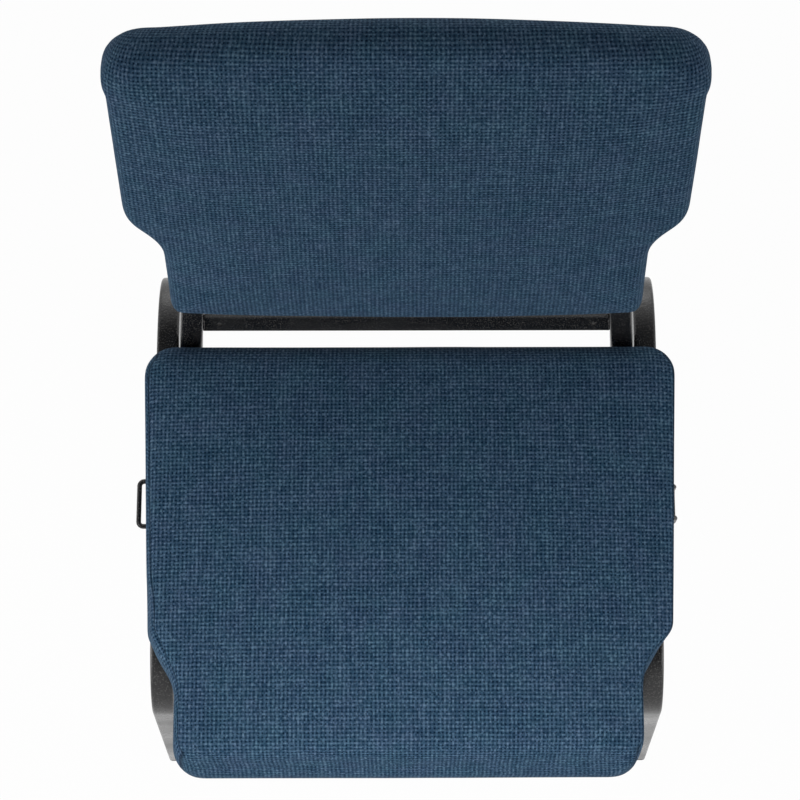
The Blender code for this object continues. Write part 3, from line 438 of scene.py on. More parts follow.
def makeBlueWeave():
    material, tree, shader = newMaterial("blueWeave")
    cloth = addNode(tree, "ShaderNodeUVMap", uv_map="clothLay").outputs[0]
    weave = weaveSet
    woven = placeGroup(tree, dotWeave, {
        "Cloth": cloth, "Pitch": weave["pitch"], "Wander": weave["wander"], "Slub": weave["slub"],
        "Thread": weave["thread"], "Pale": weave["pale"], "Gap": weave["gap"],
    })
    # Painted shade: the cloth darkens towards the seam colour along the seam's groove
    seam = addNode(tree, "ShaderNodeAttribute", attribute_name="seamShade").outputs["Fac"]
    grooveShadeShare = spread(tree, seam, weave["seamShadeFrom"], 1.0, 0.0, weave["seamShadeMost"], True)
    feed(tree, shader["Base Color"], mixColor(tree, grooveShadeShare, woven["Color"], weave["seam"]))
    feed(tree, shader["Roughness"], woven["Rough"])
    shader["Specular IOR Level"].default_value = weave["specular"]
    shader["Sheen Weight"].default_value = weave["sheen"]
    shader["Sheen Roughness"].default_value = weave["sheenRough"]
    shader["Sheen Tint"].default_value = weave["sheenTint"]
    addBump(tree, shader, woven["Height"], weave["bump"], weave["bumpShare"])
    return material


def makeFinish(name):
    spec = finishSet[name]
    material, tree, shader = newMaterial(name)
    skin = placeGroup(tree, fineGrain, {"Scale": spec["scale"]})
    ground = mixColor(tree, skin["Tone"], spec["dark"], spec["light"])
    # Light flecks mixed into the base colour; on the vein paint this is painted sparkle
    feed(tree, shader["Base Color"], mixColor(tree, skin["Fleck"], ground, spec["fleckAndSparkle"]))
    feed(tree, shader["Roughness"], spread(tree, skin["Patch"], 0.0, 1.0, *spec["rough"]))
    shader["Metallic"].default_value = spec["metallic"]
    shader["Specular IOR Level"].default_value = spec["specular"]
    addBump(tree, shader, skin["Height"], spec["bump"])
    return material


def makePlywood():
    # Face veneer with long grain, hidden inside the pads
    material, tree, shader = newMaterial("rawPlywood")
    wood = plywoodSet
    spot = addNode(tree, "ShaderNodeTexCoord").outputs["Object"]
    drawn = addNode(tree, "ShaderNodeMapping", {"Vector": spot, "Scale": wood["stretch"]}).outputs[0]
    grain = noiseAt(tree, drawn, *wood["grain"])[0]
    feed(tree, shader["Base Color"], mixColor(tree, grain, wood["dark"], wood["light"]))
    feed(tree, shader["Roughness"], spread(tree, grain, *wood["grainRange"], *wood["rough"]))
    addBump(tree, shader, grain, wood["bump"])
    return material


blueWeave = makeBlueWeave()
finishes = {name: makeFinish(name) for name in finishSet}
finishes["rawPlywood"] = makePlywood()
print("materials made")


# Curves and cushion surfaces

def roundedPath(corners, radii, steps):
    points = [corners[0].copy()]
    for index, radius in enumerate(radii):
        corner = corners[index + 1]
        back = (corners[index] - corner).normalized()
        ahead = (corners[index + 2] - corner).normalized()
        opening = back.angle(ahead)
        reach = radius / math.tan(opening / 2)
        centre = corner + (back + ahead).normalized() * radius / math.sin(opening / 2)
        first = corner + back * reach - centre
        last = corner + ahead * reach - centre
        turn = math.pi - opening
        for step in range(steps[index] + 1):
            share = step / steps[index]
            arm = first * math.sin((1 - share) * turn) + last * math.sin(share * turn)
            points.append(centre + arm / math.sin(turn))
    points.append(corners[-1].copy())
    return points


def runLengths(points):
    steps = np.linalg.norm(np.diff(points, axis=0), axis=1)
    return np.concatenate([[0.0], np.cumsum(steps)])


def evenPoints(points, count):
    points = np.array(points, float)
    run = runLengths(points)
    marks = np.linspace(0.0, run[-1], count + 1)
    return np.stack([np.interp(marks, run, points[:, axis]) for axis in (0, 1)], axis=1)


def smoothStep(value):
    value = np.clip(value, 0.0, 1.0)
    return value * value * (3 - 2 * value)


def ramp(value, start, reach):
    # 0 up to start and 1 past start + reach; a reach below 0 runs the other way
    return smoothStep((value - start) / reach)


def hump(value, middle, reach):
    return smoothStep(1 - abs(value - middle) / reach)


def insetCorners(corners, insets):
    # Each edge moves inwards by its own amount; corners go where the moved edges cross
    moved = []
    for (start, end), inset in zip(zip(corners, corners[1:]), insets):
        along = (end - start).normalized()
        inward = Vector((along.y, -along.x, 0.0))
        moved.append((start + inward * inset, along))
    fresh = [Vector((0.0, moved[0][0].y, 0.0))]
    for (spotA, alongA), (spotB, alongB) in zip(moved, moved[1:]):
        cross = alongA.x * alongB.y - alongA.y * alongB.x
        gap = spotB - spotA
        fresh.append(spotA + alongA * ((gap.x * alongB.y - gap.y * alongB.x) / cross))
    fresh.append(Vector((0.0, moved[-1][0].y, 0.0)))
    return fresh


cornerSteps = (12, 10, 16, 12)
tightest = 0.0015               # no corner of a pad is sharper
straightShare = 0.3             # a ring that still grows outwards by this share keeps its own way
tiny = 1e-9
profileNames = ("farProfile", "sideProfile", "nearProfile")


def ringCurves(form, level):
    # The four sides of one ring of a pad, each split at the middle of the corner arcs
    farIn, sideIn, nearIn = (form[name][level][0] for name in profileNames)
    edgeIn = (farIn, sideIn, sideIn, sideIn, nearIn)
    outline, outlineRadii = form["outline"](level)
    corners = insetCorners(outline, edgeIn)
    radii = []
    for index, radius in enumerate(outlineRadii):
        step = (edgeIn[index] + edgeIn[index + 1]) / 2
        radii.append(radius + step if index == form["hollowCorner"] else max(radius - step, tightest))
    path = [np.array((p.x, p.y)) for p in roundedPath(corners, radii, cornerSteps)]
    first = 1 + cornerSteps[0] // 2
    last = 1 + sum(cornerSteps[:3]) + 3 + cornerSteps[3] // 2
    mirror = np.array((-1.0, 1.0))
    farHalf, side, nearHalf = path[:first + 1], path[first:last + 1], path[last:]
    far = [p * mirror for p in farHalf[::-1]] + farHalf[1:]
    near = [p * mirror for p in nearHalf] + nearHalf[::-1][1:]
    columns, rows = form["columns"], form["rows"]
    curves = {
        "far": evenPoints(far, columns),
        "right": evenPoints(side, rows),
        "near": evenPoints(near, columns),
        "left": evenPoints([p * mirror for p in side], rows),
    }
    return {name: form["shape"](points, level) for name, points in curves.items()}


def ringLoop(sides):
    # Clockwise from the far left corner
    parts = sides["far"], sides["right"][1:], sides["near"][::-1][1:], sides["left"][::-1][1:-1]
    return np.concatenate(parts)


def coonsGrid(curves):
    far, near, left, right = (curves[name] for name in ("far", "near", "left", "right"))
    a = np.linspace(0, 1, len(far))[None, :, None]
    b = np.linspace(0, 1, len(left))[:, None, None]
    across = (1 - a) * left[:, None, :] + a * right[:, None, :]
    along = (1 - b) * far[None, :, :] + b * near[None, :, :]
    flat = (1 - b) * ((1 - a) * far[0] + a * far[-1]) + b * ((1 - a) * near[0] + a * near[-1])
    return across + along - flat


def ringFalls(form, curves, level):
    # How far this ring lies below the top panel; the corners share the profiles of both sides
    farFall, sideFall, nearFall = (form[name][level][1] for name in profileNames)
    corner = {"far": (farFall + sideFall) / 2, "near": (nearFall + sideFall) / 2}
    falls = {}
    for name, own in (("far", farFall), ("near", nearFall)):
        run = runLengths(curves[name])
        toEnd = smoothStep(1 - np.minimum(run, run[-1] - run) / form["cornerBlend"])
        falls[name] = own + (corner[name] - own) * toEnd
    for name in ("right", "left"):
        run = runLengths(curves[name])
        toFar = smoothStep(1 - run / form["cornerBlend"])
        toNear = smoothStep(1 - (run[-1] - run) / form["cornerBlend"])
        falls[name] = sideFall + (corner["far"] - sideFall) * toFar + (corner["near"] - sideFall) * toNear
    return ringLoop(falls)


def loopNormals(loop):
    # Outward normals of a loop that runs clockwise
    along = np.roll(loop, -1, axis=0) - np.roll(loop, 1, axis=0)
    normals = np.column_stack([-along[:, 1], along[:, 0]])
    return normals / np.linalg.norm(normals, axis=1)[:, None]


def straightSides(normals, loop, form):
    # Between its corners the cloth of a side is pulled straight across, past the hollows too
    columns, rows = form["columns"], form["rows"]
    for start, sign in ((columns, 1.0), (2 * columns + rows, -1.0)):
        spots = np.arange(start, start + rows + 1) % len(loop)
        run = runLengths(loop[spots])
        share = ramp(np.minimum(run, run[-1] - run), 0.0, 2 * form["cornerBlend"])[:, None]
        mixed = normals[spots] * (1 - share) + np.array((sign, 0.0)) * share
        normals[spots] = mixed / np.linalg.norm(mixed, axis=1)[:, None]
    return normals


def gridRim(columns, rows):
    # Point numbers round the edge of a grid, clockwise from its far left corner
    width = columns + 1
    far = list(range(width))
    right = [row * width + columns for row in range(1, rows + 1)]
    near = [rows * width + column for column in range(columns - 1, -1, -1)]
    left = [row * width for row in range(rows - 1, 0, -1)]
    return far + right + near + left


def padPoints(form):
    # The top panel's grid, a ring for each step of the profiles, then the underside's grid
    plans, heights = [], []
    for level in range(len(form["sideProfile"])):
        curves = ringCurves(form, level)
        loop = ringLoop(curves)
        fade = 1 - min(1.0, level / form["crownLevels"])
        plans.append(loop)
        heights.append(form["edge"] + form["crown"](loop) * fade - ringFalls(form, curves, level))
        if level == 0:
            top = coonsGrid(curves).reshape(-1, 2)
    under = coonsGrid(curves)[1:-1, 1:-1].reshape(-1, 2)
    points = [np.column_stack([top, form["edge"] + form["crown"](top)])]
    points += [np.column_stack([plan, height]) for plan, height in zip(plans[1:], heights[1:])]
    points.append(np.column_stack([under, np.full(len(under), heights[-1].mean())]))
    return plans, np.concatenate(points)


def unrollCloth(form, plans, rings):
    # Where each ring's cloth lies when it is spread flat, its run down the wall, and the run round the pad
    levels = range(1, len(plans))
    run = np.zeros((len(plans), len(plans[0])))
    for level in levels:
        run[level] = run[level - 1] + np.linalg.norm(rings[level] - rings[level - 1], axis=1)
    widest = max(plans, key=lambda plan: abs(plan).max())
    outward = straightSides(loopNormals(widest), widest, form)
    unrolled = [plans[0]]
    for level in levels:
        step = plans[level] - plans[level - 1]
        length = np.linalg.norm(step, axis=1)
        spent = (run[level] - run[level - 1])[:, None]
        straight = ((step * outward).sum(axis=1) > straightShare * spent[:, 0])[:, None]
        way = np.where(straight, step / np.maximum(length, tiny)[:, None], outward)
        unrolled.append(unrolled[-1] + way * spent)
    return unrolled, run, runLengths(np.concatenate([widest, widest[:1]]))


def makeCushion(form):
    # Top panel, rolled or boxed walls and underside of a pad as one closed surface of quads
    columns, rows = form["columns"], form["rows"]
    plans, points = padPoints(form)
    levels, around, width = len(plans), len(plans[0]), columns + 1
    rim = gridRim(columns, rows)
    ringStart = width * (rows + 1)
    underStart = ringStart + (levels - 1) * around
    starts = range(ringStart, underStart, around)
    rings = [rim] + [list(range(start, start + around)) for start in starts]
    last = dict(zip(rim, rings[-1]))

    def underId(i, j):
        if 0 < i < columns and 0 < j < rows:
            return underStart + (j - 1) * (columns - 1) + i - 1
        return last[j * width + i]

    unrolled, run, perimeter = unrollCloth(form, plans, [points[ring] for ring in rings])
    corners = (0, columns, columns + rows, 2 * columns + rows)
    cells = [(i, j) for j in range(rows) for i in range(columns)]
    faces, lays = [], []
    for i, j in cells:
        face = [j * width + i, (j + 1) * width + i, (j + 1) * width + i + 1, j * width + i + 1]
        faces.append(face)
        lays.append([points[v][:2] for v in face])
    for level in range(levels - 1):
        for r in range(around):
            after = (r + 1) % around
            spots = ((level, r, r), (level, after, r + 1), (level + 1, after, r + 1), (level + 1, r, r))
            faces.append([rings[step][spot] for step, spot, mark in spots])
            if form["boxed"](r, corners, level):
                lays.append([(perimeter[mark], -run[step][spot]) for step, spot, mark in spots])
            else:
                lays.append([unrolled[step][spot] for step, spot, mark in spots])
    for i, j in cells:
        face = [underId(i, j), underId(i + 1, j), underId(i + 1, j + 1), underId(i, j + 1)]
        faces.append(face)
        lays.append([points[v][:2] for v in face])
    # seamShade is 1 on the seam's points, where the material paints shade into the seam's groove
    shade = np.zeros(len(points))
    for level, ring in enumerate(rings):
        shade[[v for r, v in enumerate(ring) if form["seam"](r, corners, level)]] = 1.0
    piece = makePad(form, points, faces, shade, lays)
    loose = form["looseLevels"] * around
    panel = {"points": ringStart + loose, "faces": faces[:len(cells) + loose], "held": around}
    return piece, panel


def makePad(form, points, faces, shade, lays):
    mesh = bpy.data.meshes.new(form["name"])
    world = points @ np.array(form["axes"]) + np.array(form["origin"])
    mesh.from_pydata(world.tolist(), [], faces)
    lay = mesh.uv_layers.new(name="clothLay")
    lay.data.foreach_set("uv", denserRows(np.array(lays, float), form["dense"]).ravel())
    # seamShade: where the material paints shade into the seam's groove
    mesh.attributes.new("seamShade", "FLOAT", "POINT").data.foreach_set("value", shade)
    mesh.shade_smooth()
    mesh.materials.append(blueWeave)
    piece = bpy.data.objects.new(form["name"], mesh)
    scene.collection.objects.link(piece)
    return piece


def denserRows(lays, dense):
    # The rows of the cloth lie closer past each step: where it starts, its reach and the added share
    low, high = dense["span"]
    marks = np.linspace(low, high, dense["marks"])
    rows = np.ones(len(marks))
    for start, reach, share in dense["steps"]:
        rows += share * ramp(marks, start, reach)
    counted = np.cumsum(rows) * (marks[1] - marks[0])
    lays[..., 1] = np.interp(lays[..., 1], marks, counted)
    return lays


def meshPoints(mesh):
    flat = np.zeros(3 * len(mesh.vertices))
    mesh.vertices.foreach_get("co", flat)
    return flat.reshape(-1, 3)


puffSet = {"quality": 4, "mass": 0.3, "stiffness": 15.0, "bending": 1.0, "pressure": 4.0, "frames": 20}
lumpSet = ((0.7, 7.0), (0.3, 21.0))     # share and noise scale of the foam's lumps


def inflate(piece, panel, cap):
    # Air pressure under the top panel of the sewn cover, held all round its rim
    puff = puffSet
    start = meshPoints(piece.data)[:panel["points"]]
    mesh = bpy.data.meshes.new("airPanel")
    mesh.from_pydata(start.tolist(), [], panel["faces"])
    sheet = bpy.data.objects.new("airPanel", mesh)
    scene.collection.objects.link(sheet)
    rim = range(panel["points"] - panel["held"], panel["points"])
    sheet.vertex_groups.new(name="held").add(list(rim), 1.0, "REPLACE")
    cloth = sheet.modifiers.new("pressure", "CLOTH")
    rules = cloth.settings
    rules.quality = puff["quality"]
    rules.mass = puff["mass"]
    rules.tension_stiffness = puff["stiffness"]
    rules.compression_stiffness = puff["stiffness"]
    rules.shear_stiffness = puff["stiffness"] / 2
    rules.bending_stiffness = puff["bending"]
    rules.use_pressure = True
    rules.uniform_pressure_force = puff["pressure"]
    rules.effector_weights.gravity = 0.0
    rules.vertex_group_mass = "held"
    cloth.collision_settings.use_collision = False
    cloth.point_cache.frame_start = 1
    cloth.point_cache.frame_end = puff["frames"]
    for number in range(1, puff["frames"] + 1):
        scene.frame_set(number)
    puffed = meshPoints(sheet.evaluated_get(bpy.context.evaluated_depsgraph_get()).data)
    bpy.data.objects.remove(sheet)
    scene.frame_set(1)
    move = puffed - start
    length = np.linalg.norm(move, axis=1)
    print(piece.name, "swells by", round(1000 * float(np.median(length)), 1), "to",
          round(1000 * float(length.max()), 1), "mm")
    move *= np.minimum(1.0, cap / np.maximum(length, tiny))[:, None]
    points = meshPoints(piece.data)
    points[:panel["points"]] += move
    piece.data.vertices.foreach_set("co", points.ravel())
    piece.data.update()


def refine(piece, unevenness):
    # One subdivision, then the slight lumps of foam under cloth
    smooth = piece.modifiers.new("smooth", "SUBSURF")
    smooth.levels = smooth.render_levels = 1
    mesh = bpy.data.meshes.new_from_object(piece.evaluated_get(bpy.context.evaluated_depsgraph_get()))
    piece.modifiers.clear()
    mesh.name = piece.name
    piece.data = mesh
    points = meshPoints(mesh)
    normals = np.zeros(3 * len(points))
    mesh.vertex_normals.foreach_get("vector", normals)
    lumps = [sum(share * noise.noise(Vector(p) * scale) for share, scale in lumpSet) for p in points]
    points += normals.reshape(-1, 3) * np.array(lumps)[:, None] * unevenness
    mesh.vertices.foreach_set("co", points.ravel())
    mesh.shade_smooth()
    mesh.update()


# Seat pad

seatSet = {
    "rearY": 0.1075, "frontY": -0.316, "rearHalf": 0.2620,
    "cover": {"notchHalf": 0.2515, "frontHalf": 0.2222, "notchStart": -0.1785, "notchEnd": -0.2155,
              "radii": (0.029, 0.012, 0.060, 0.025)},
    "board": {"notchHalf": 0.2515, "frontHalf": 0.2235, "notchStart": -0.1800, "notchEnd": -0.2280,
              "radii": (0.025, 0.016, 0.050, 0.027)},
    "base": 0.4175, "edge": 0.4635, "crown": 0.0085, "crownAcross": 2.6, "crownAlong": 5.0, "crownLevels": 8,
    "rearRoll": 0.031, "rearSteps": 10, "bulge": 0.0042,
    "rearWall": ((0.28, 1.0), (0.52, 0.8), (0.74, 0.3)),            # share of the wall, share of the bulge
    "hemStart": (0.0001, 0.90), "hemTurn": ((0.0006, 0.0011), (0.0042, 0.0), (0.014, 0.0)),
    "boardFrom": (0.018, 0.012),                                    # fall where the board's plan takes over
    "swayWide": 0.0035, "swayFront": 0.0020, "swayEnd": (0.034, -0.016),    # sewn to one side of its board
    "leftZone": (-0.12, -0.06), "rightZone": (0.12, 0.06),
    "notchSlack": 0.0065, "slackSpan": (-0.208, 0.034), "slackGrow": (0.003, 0.012), "slackMin": 0.6,
    "boardHold": 0.7,
    "cornerTuck": 0.0035, "tuckSpan": (-0.160, 0.045),
    "overhang": 0.0024, "overhangLevels": 4.5, "flatSide": 0.0030, "flatLevels": (10, 4),
    "frontSlant": 0.0034, "slantAcross": (0.02, 0.20), "slantFront": (-0.24, -0.06),
    "slantEnd": (0.010, 0.014), "slantHold": 0.88,
    "columns": 60, "rows": 68, "cornerBlend": 0.030, "unevenness": 0.0005, "puffCap": 0.006,
    "dense": {"span": (-0.5, 0.3), "marks": 401, "steps": [(-0.287, -0.025, 0.7)]},
    "side": [                   # inset and fall of each ring, from the top panel to the hem
        (0.0220, 0.0000), (0.0140, 0.0001), (0.0085, 0.0004), (0.0054, 0.0011), (0.0037, 0.0023),
        (0.0026, 0.0040), (0.0017, 0.0029), (0.0002, 0.0034), (-0.0016, 0.0062), (-0.0025, 0.0112),
        (-0.0028, 0.0180), (-0.0022, 0.0255), (-0.0010, 0.0330), (-0.0005, 0.0400), (-0.0001, 0.0449),
        (0.0036, 0.0461), (0.0140, 0.0460),
    ],
    "front": [                  # the same for the waterfall front
        (0.0400, 0.0000), (0.0320, 0.0004), (0.0265, 0.0012), (0.0217, 0.0027), (0.0177, 0.0049),
        (0.0147, 0.0076), (0.0124, 0.0107), (0.0104, 0.0145), (0.0085, 0.0186), (0.0062, 0.0226),
        (0.0034, 0.0264), (0.0006, 0.0298), (-0.0003, 0.0338), (-0.0006, 0.0400), (-0.0004, 0.0449),
        (0.0036, 0.0461), (0.0140, 0.0460),
    ],
    "seamLevel": 5,
}


def rearProfile():
    # The top panel rolls over the rear edge, drops and turns under the board
    seat = seatSet
    radius, bulge = seat["rearRoll"], seat["bulge"]
    depth = seat["edge"] - seat["base"]
    wall = depth - radius
    profile = []
    for step in range(seat["rearSteps"]):
        turn = math.pi / 2 * (1 - step / (seat["rearSteps"] - 1))
        out = bulge * math.cos(turn)
        profile.append((radius * (1 - math.cos(turn)) - out, radius * (1 - math.sin(turn))))
    profile += [(-out * bulge, radius + share * wall) for share, out in seat["rearWall"]]
    inset, share = seat["hemStart"]
    profile.append((inset, radius + share * wall))
    return profile + [(inset, depth - lift) for inset, lift in seat["hemTurn"]]


def seatCrown(plan):
    middle = (seatSet["rearY"] + seatSet["frontY"]) / 2
    reach = (seatSet["rearY"] - seatSet["frontY"]) / 2
    across = np.clip(1 - (abs(plan[:, 0]) / seatSet["rearHalf"]) ** seatSet["crownAcross"], 0, 1)
    along = np.clip(1 - (abs(plan[:, 1] - middle) / reach) ** seatSet["crownAlong"], 0, 1)
    return seatSet["crown"] * across * along


def seatSway(plan, level):
    # The top panel sits to one side; the boxing follows it less and less towards the board
    seat = seatSet
    x, y = plan[:, 0], plan[:, 1]
    fall, frontFall = seat["side"][level][1], seat["front"][level][1]
    free = ramp(fall, *seat["swayEnd"])
    notch = seat["cover"]
    wide = ramp(y, notch["notchEnd"], notch["notchStart"] - notch["notchEnd"])
    sway = (seat["swayFront"] + (seat["swayWide"] - seat["swayFront"]) * wide) * free
    left = ramp(x, *seat["leftZone"])
    right = ramp(x, *seat["rightZone"])
    grown = seat["slackMin"] + (1 - seat["slackMin"]) * ramp(fall, *seat["slackGrow"])
    slack = -seat["notchSlack"] * hump(y, *seat["slackSpan"]) * grown
    slack *= 1 - seat["boardHold"] * boardShare(level)
    tuck = seat["cornerTuck"] * hump(y, *seat["tuckSpan"]) * free
    over = seat["overhang"] * hump(level, seat["seamLevel"], seat["overhangLevels"])
    over -= seat["flatSide"] * hump(level, *seat["flatLevels"])
    held = 1 - seat["slantHold"] * ramp(frontFall, *seat["slantEnd"])
    slant = seat["frontSlant"] * held * ramp(x, *seat["slantAcross"]) * ramp(y, *seat["slantFront"])
    return plan + np.column_stack([sway + left * (slack + tuck) + right * over, slant])


def onSide(r, corners):
    return corners[1] <= r <= corners[2] or r >= corners[3] or r == 0


def boardShare(level):
    # 0 for the top panel, 1 where the cover is pulled over the board
    return float(ramp(seatSet["side"][level][1], *seatSet["boardFrom"]))


def seatOutline(share):
    # Right half of the plan from the rear's middle to the front's, and its corner radii
    seat = seatSet
    cover, board = seat["cover"], seat["board"]
    own = {name: cover[name] + (board[name] - cover[name]) * share for name in cover if name != "radii"}
    outline = [(0, seat["rearY"]), (seat["rearHalf"], seat["rearY"]), (own["notchHalf"], own["notchStart"]),
               (own["frontHalf"], own["notchEnd"]), (own["frontHalf"], seat["frontY"]), (0, seat["frontY"])]
    radii = [a + (b - a) * share for a, b in zip(cover["radii"], board["radii"])]
    return [Vector((x, y, 0.0)) for x, y in outline], radii


def makeSeatPad():
    seat = seatSet
    seam = seat["seamLevel"]
    pad, panel = makeCushion({
        "name": "seatPad", "columns": seat["columns"], "rows": seat["rows"],
        "cornerBlend": seat["cornerBlend"],
        "outline": lambda level: seatOutline(boardShare(level)), "hollowCorner": 2, "shape": seatSway,
        "crown": seatCrown, "crownLevels": seat["crownLevels"], "edge": seat["edge"],
        "farProfile": rearProfile(), "nearProfile": seat["front"], "sideProfile": seat["side"],
        "boxed": lambda r, c, level: level >= seam and (c[1] <= r < c[2] or r >= c[3]),
        # seam: the points that get painted shade in the seam's groove
        "seam": lambda r, c, level: (level == seam and onSide(r, c)) or (level >= seam and r in c),
        "dense": seat["dense"], "looseLevels": 2,
        "axes": ((1, 0, 0), (0, 1, 0), (0, 0, 1)), "origin": (0, 0, 0),
    })
    inflate(pad, panel, seat["puffCap"])
    refine(pad, seat["unevenness"])
    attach(pad, "root")
    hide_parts("seat_cover", "seat_foam")
    print("seat pad made, top at", round(float(meshPoints(pad.data).max(axis=0)[2]), 4))


# Back pad, made in the back's own frame: across, up along the uprights, out of the front face

backSet = {
    "bendY": 0.1154, "bendZ": 0.397, "recline": math.radians(18.0),
    "bottom": 0.1165, "top": 0.4870, "lowerHalf": 0.2290, "upperHalf": 0.2615,
    "waist": 0.2224, "shoulder": 0.2604, "cornerRadii": (0.048, 0.034, 0.060, 0.007),
    "arch": 0.0125, "belly": 0.0065, "edgeZone": 0.05,
    "ear": 0.0026, "earAcross": (0.16, 0.08), "earStart": (0.428, 0.010), "earEnd": (0.484, -0.020),
    "front": 0.0412, "rear": -0.0179, "crown": 0.0065, "crownLevels": 8, "sideBulge": 0.0008,
    "sideRoll": 0.022, "topRoll": 0.0290, "bottomRoll": 0.018, "rearRoll": 0.012,
    "frontTurns": (90, 78, 66, 54, 41, 28, 14, 0), "rearTurns": (30, 60, 82),
    "wall": ((0.33, 1.0), (0.67, 0.8), (1.0, 0.0)),                 # share of the wall, share of the bulge
    "rearPanel": ((0.0002, 0.0024), (0.0020, 0.0004), (0.0080, 0.0), (0.0200, 0.0)),
    "columns": 56, "rows": 48, "cornerBlend": 0.040, "unevenness": 0.0006, "puffCap": 0.005,
    "dense": {"span": (-0.3, 0.9), "marks": 601, "steps": [(0.404, -0.025, 0.185), (0.306, -0.045, 0.18)]},
    "seamLevel": 14,
}


def wrapProfile(frontRoll, rearRoll, bulge=0.0):
    # Round the edge from the front panel to the seam at the rear panel
    back = backSet
    depth = back["front"] - back["rear"]
    profile = []
    for turn in map(math.radians, back["frontTurns"]):
        profile.append((frontRoll * (1 - math.cos(turn)), frontRoll * (1 - math.sin(turn))))
    wall = depth - frontRoll - rearRoll
    profile += [(-out * bulge, frontRoll + share * wall) for share, out in back["wall"]]
    for turn in map(math.radians, back["rearTurns"]):
        profile.append((rearRoll * (1 - math.cos(turn)), depth - rearRoll * (1 - math.sin(turn))))
    return profile + [(rearRoll + inset, depth - lift) for inset, lift in back["rearPanel"]]


def backCrown(plan):
    back = backSet
    middle = (back["top"] + back["bottom"]) / 2
    reach = (back["top"] - back["bottom"]) / 2
    across = np.clip(1 - (plan[:, 0] / back["upperHalf"]) ** 2, 0, 1)
    along = np.clip(1 - abs((plan[:, 1] - middle) / reach) ** 3, 0, 1)
    return back["crown"] * across * along


def backArch(plan, level):
    # The top edge rises to its middle, the bottom edge hangs, and the top corners are stuffed out
    back = backSet
    x, z = plan[:, 0], plan[:, 1]
    limit = back["upperHalf"] - back["cornerRadii"][0]
    middle = np.clip(1 - (x / limit) ** 2, 0, 1)
    high = ramp(z, back["top"] - back["edgeZone"], back["edgeZone"])
    low = ramp(z, back["bottom"] + back["edgeZone"], -back["edgeZone"])
    lift = back["arch"] * high * middle - back["belly"] * low * middle
    ear = back["ear"] * np.sign(x) * ramp(abs(x), *back["earAcross"])
    stuffed = ramp(z, *back["earStart"]) * ramp(z, *back["earEnd"])
    return plan + np.column_stack([ear * stuffed, lift])


def makeBackPad():
    back = backSet
    outline = [(0, back["top"]), (back["upperHalf"], back["top"]), (back["upperHalf"], back["shoulder"]),
               (back["lowerHalf"], back["waist"]), (back["lowerHalf"], back["bottom"]), (0, back["bottom"])]
    corners = [Vector((x, z, 0.0)) for x, z in outline]
    seam = back["seamLevel"]
    lean = Matrix.Rotation(-back["recline"], 3, "X")
    axes = [lean @ Vector(v) for v in ((1, 0, 0), (0, 0, 1), (0, -1, 0))]
    pad, panel = makeCushion({
        "name": "backPad", "columns": back["columns"], "rows": back["rows"],
        "cornerBlend": back["cornerBlend"],
        "outline": lambda level: (corners, back["cornerRadii"]), "hollowCorner": 2, "shape": backArch,
        "crown": backCrown, "crownLevels": back["crownLevels"], "edge": back["front"],
        "farProfile": wrapProfile(back["topRoll"], back["topRoll"]),
        "nearProfile": wrapProfile(back["bottomRoll"], back["rearRoll"]),
        "sideProfile": wrapProfile(back["sideRoll"], back["rearRoll"], back["sideBulge"]),
        "boxed": lambda r, c, level: False,
        # seam: the points that get painted shade in the seam's groove
        "seam": lambda r, c, level: level == seam and not c[2] < r < c[3],
        "dense": back["dense"], "looseLevels": 3,
        "axes": [tuple(v) for v in axes], "origin": (0.0, back["bendY"], back["bendZ"]),
    })
    inflate(pad, panel, back["puffCap"])
    refine(pad, back["unevenness"])
    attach(pad, "root")
    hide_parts("back_cover", "back_front_foam", "back_rear_foam")
    print("back pad made, top at", round(float(meshPoints(pad.data).max(axis=0)[2]), 4))


makeSeatPad()
makeBackPad()


# Frame tubes with smooth bends, over the same lines as their CAD nodes

tubeSet = {
    "size": 0.0222, "wall": 0.0015, "corner": 0.0032, "cornerSteps": 6,
    "bendSteps": 30, "easeSteps": 4, "sharp": math.radians(50.0),
    "railX": 0.2414, "railZ": 0.405, "footX": 0.2584, "cutZ": 0.006,
    "frontX": 0.2394, "frontLegY": -0.2335, "frontFootY": -0.2325, "frontBend": 0.055, "easeBend": 0.5,
    "rearLegY": 0.187, "rearFootY": 0.306, "rearBend": 0.075,
    "uprightX": 0.2189, "uprightZ": 0.397, "uprightFrontY": -0.060, "uprightBend": 0.040,
    "uprightLength": 0.348, "uprightLean": math.radians(5.0),
}


def squareSection(size, radius, steps):
    half = size / 2 - radius
    points = []
    for quarter in range(4):
        middle = math.radians(45.0 + 90.0 * quarter)
        centreU = math.copysign(half, math.cos(middle))
        centreV = math.copysign(half, math.sin(middle))
        for step in range(steps + 1):
            angle = math.radians(90.0 * (quarter + step / steps))
            points.append((centreU + radius * math.cos(angle), centreV + radius * math.sin(angle)))
    return points


def roundSection(radius, count):
    angles = [2 * math.pi * step / count for step in range(count)]
    return [(radius * math.cos(angle), radius * math.sin(angle)) for angle in angles]


def pathDirections(path):
    directions = []
    for index, point in enumerate(path):
        before = point - path[index - 1] if index else path[1] - point
        after = path[index + 1] - point if index + 1 < len(path) else before
        directions.append((before.normalized() + after.normalized()).normalized())
    return directions


def sectionRing(centre, direction, section, hint):
    across = (hint - direction * hint.dot(direction)).normalized()
    rise = direction.cross(across)
    return [centre + across * u + rise * v for u, v in section]


def bandFaces(ringCount, count, closed):
    # Quads between rings of count points each
    faces = []
    for ring in range(ringCount if closed else ringCount - 1):
        low = ring * count
        high = (ring + 1) % ringCount * count
        for step in range(count):
            after = (step + 1) % count
            faces.append((low + step, low + after, high + after, high + step))
    return faces


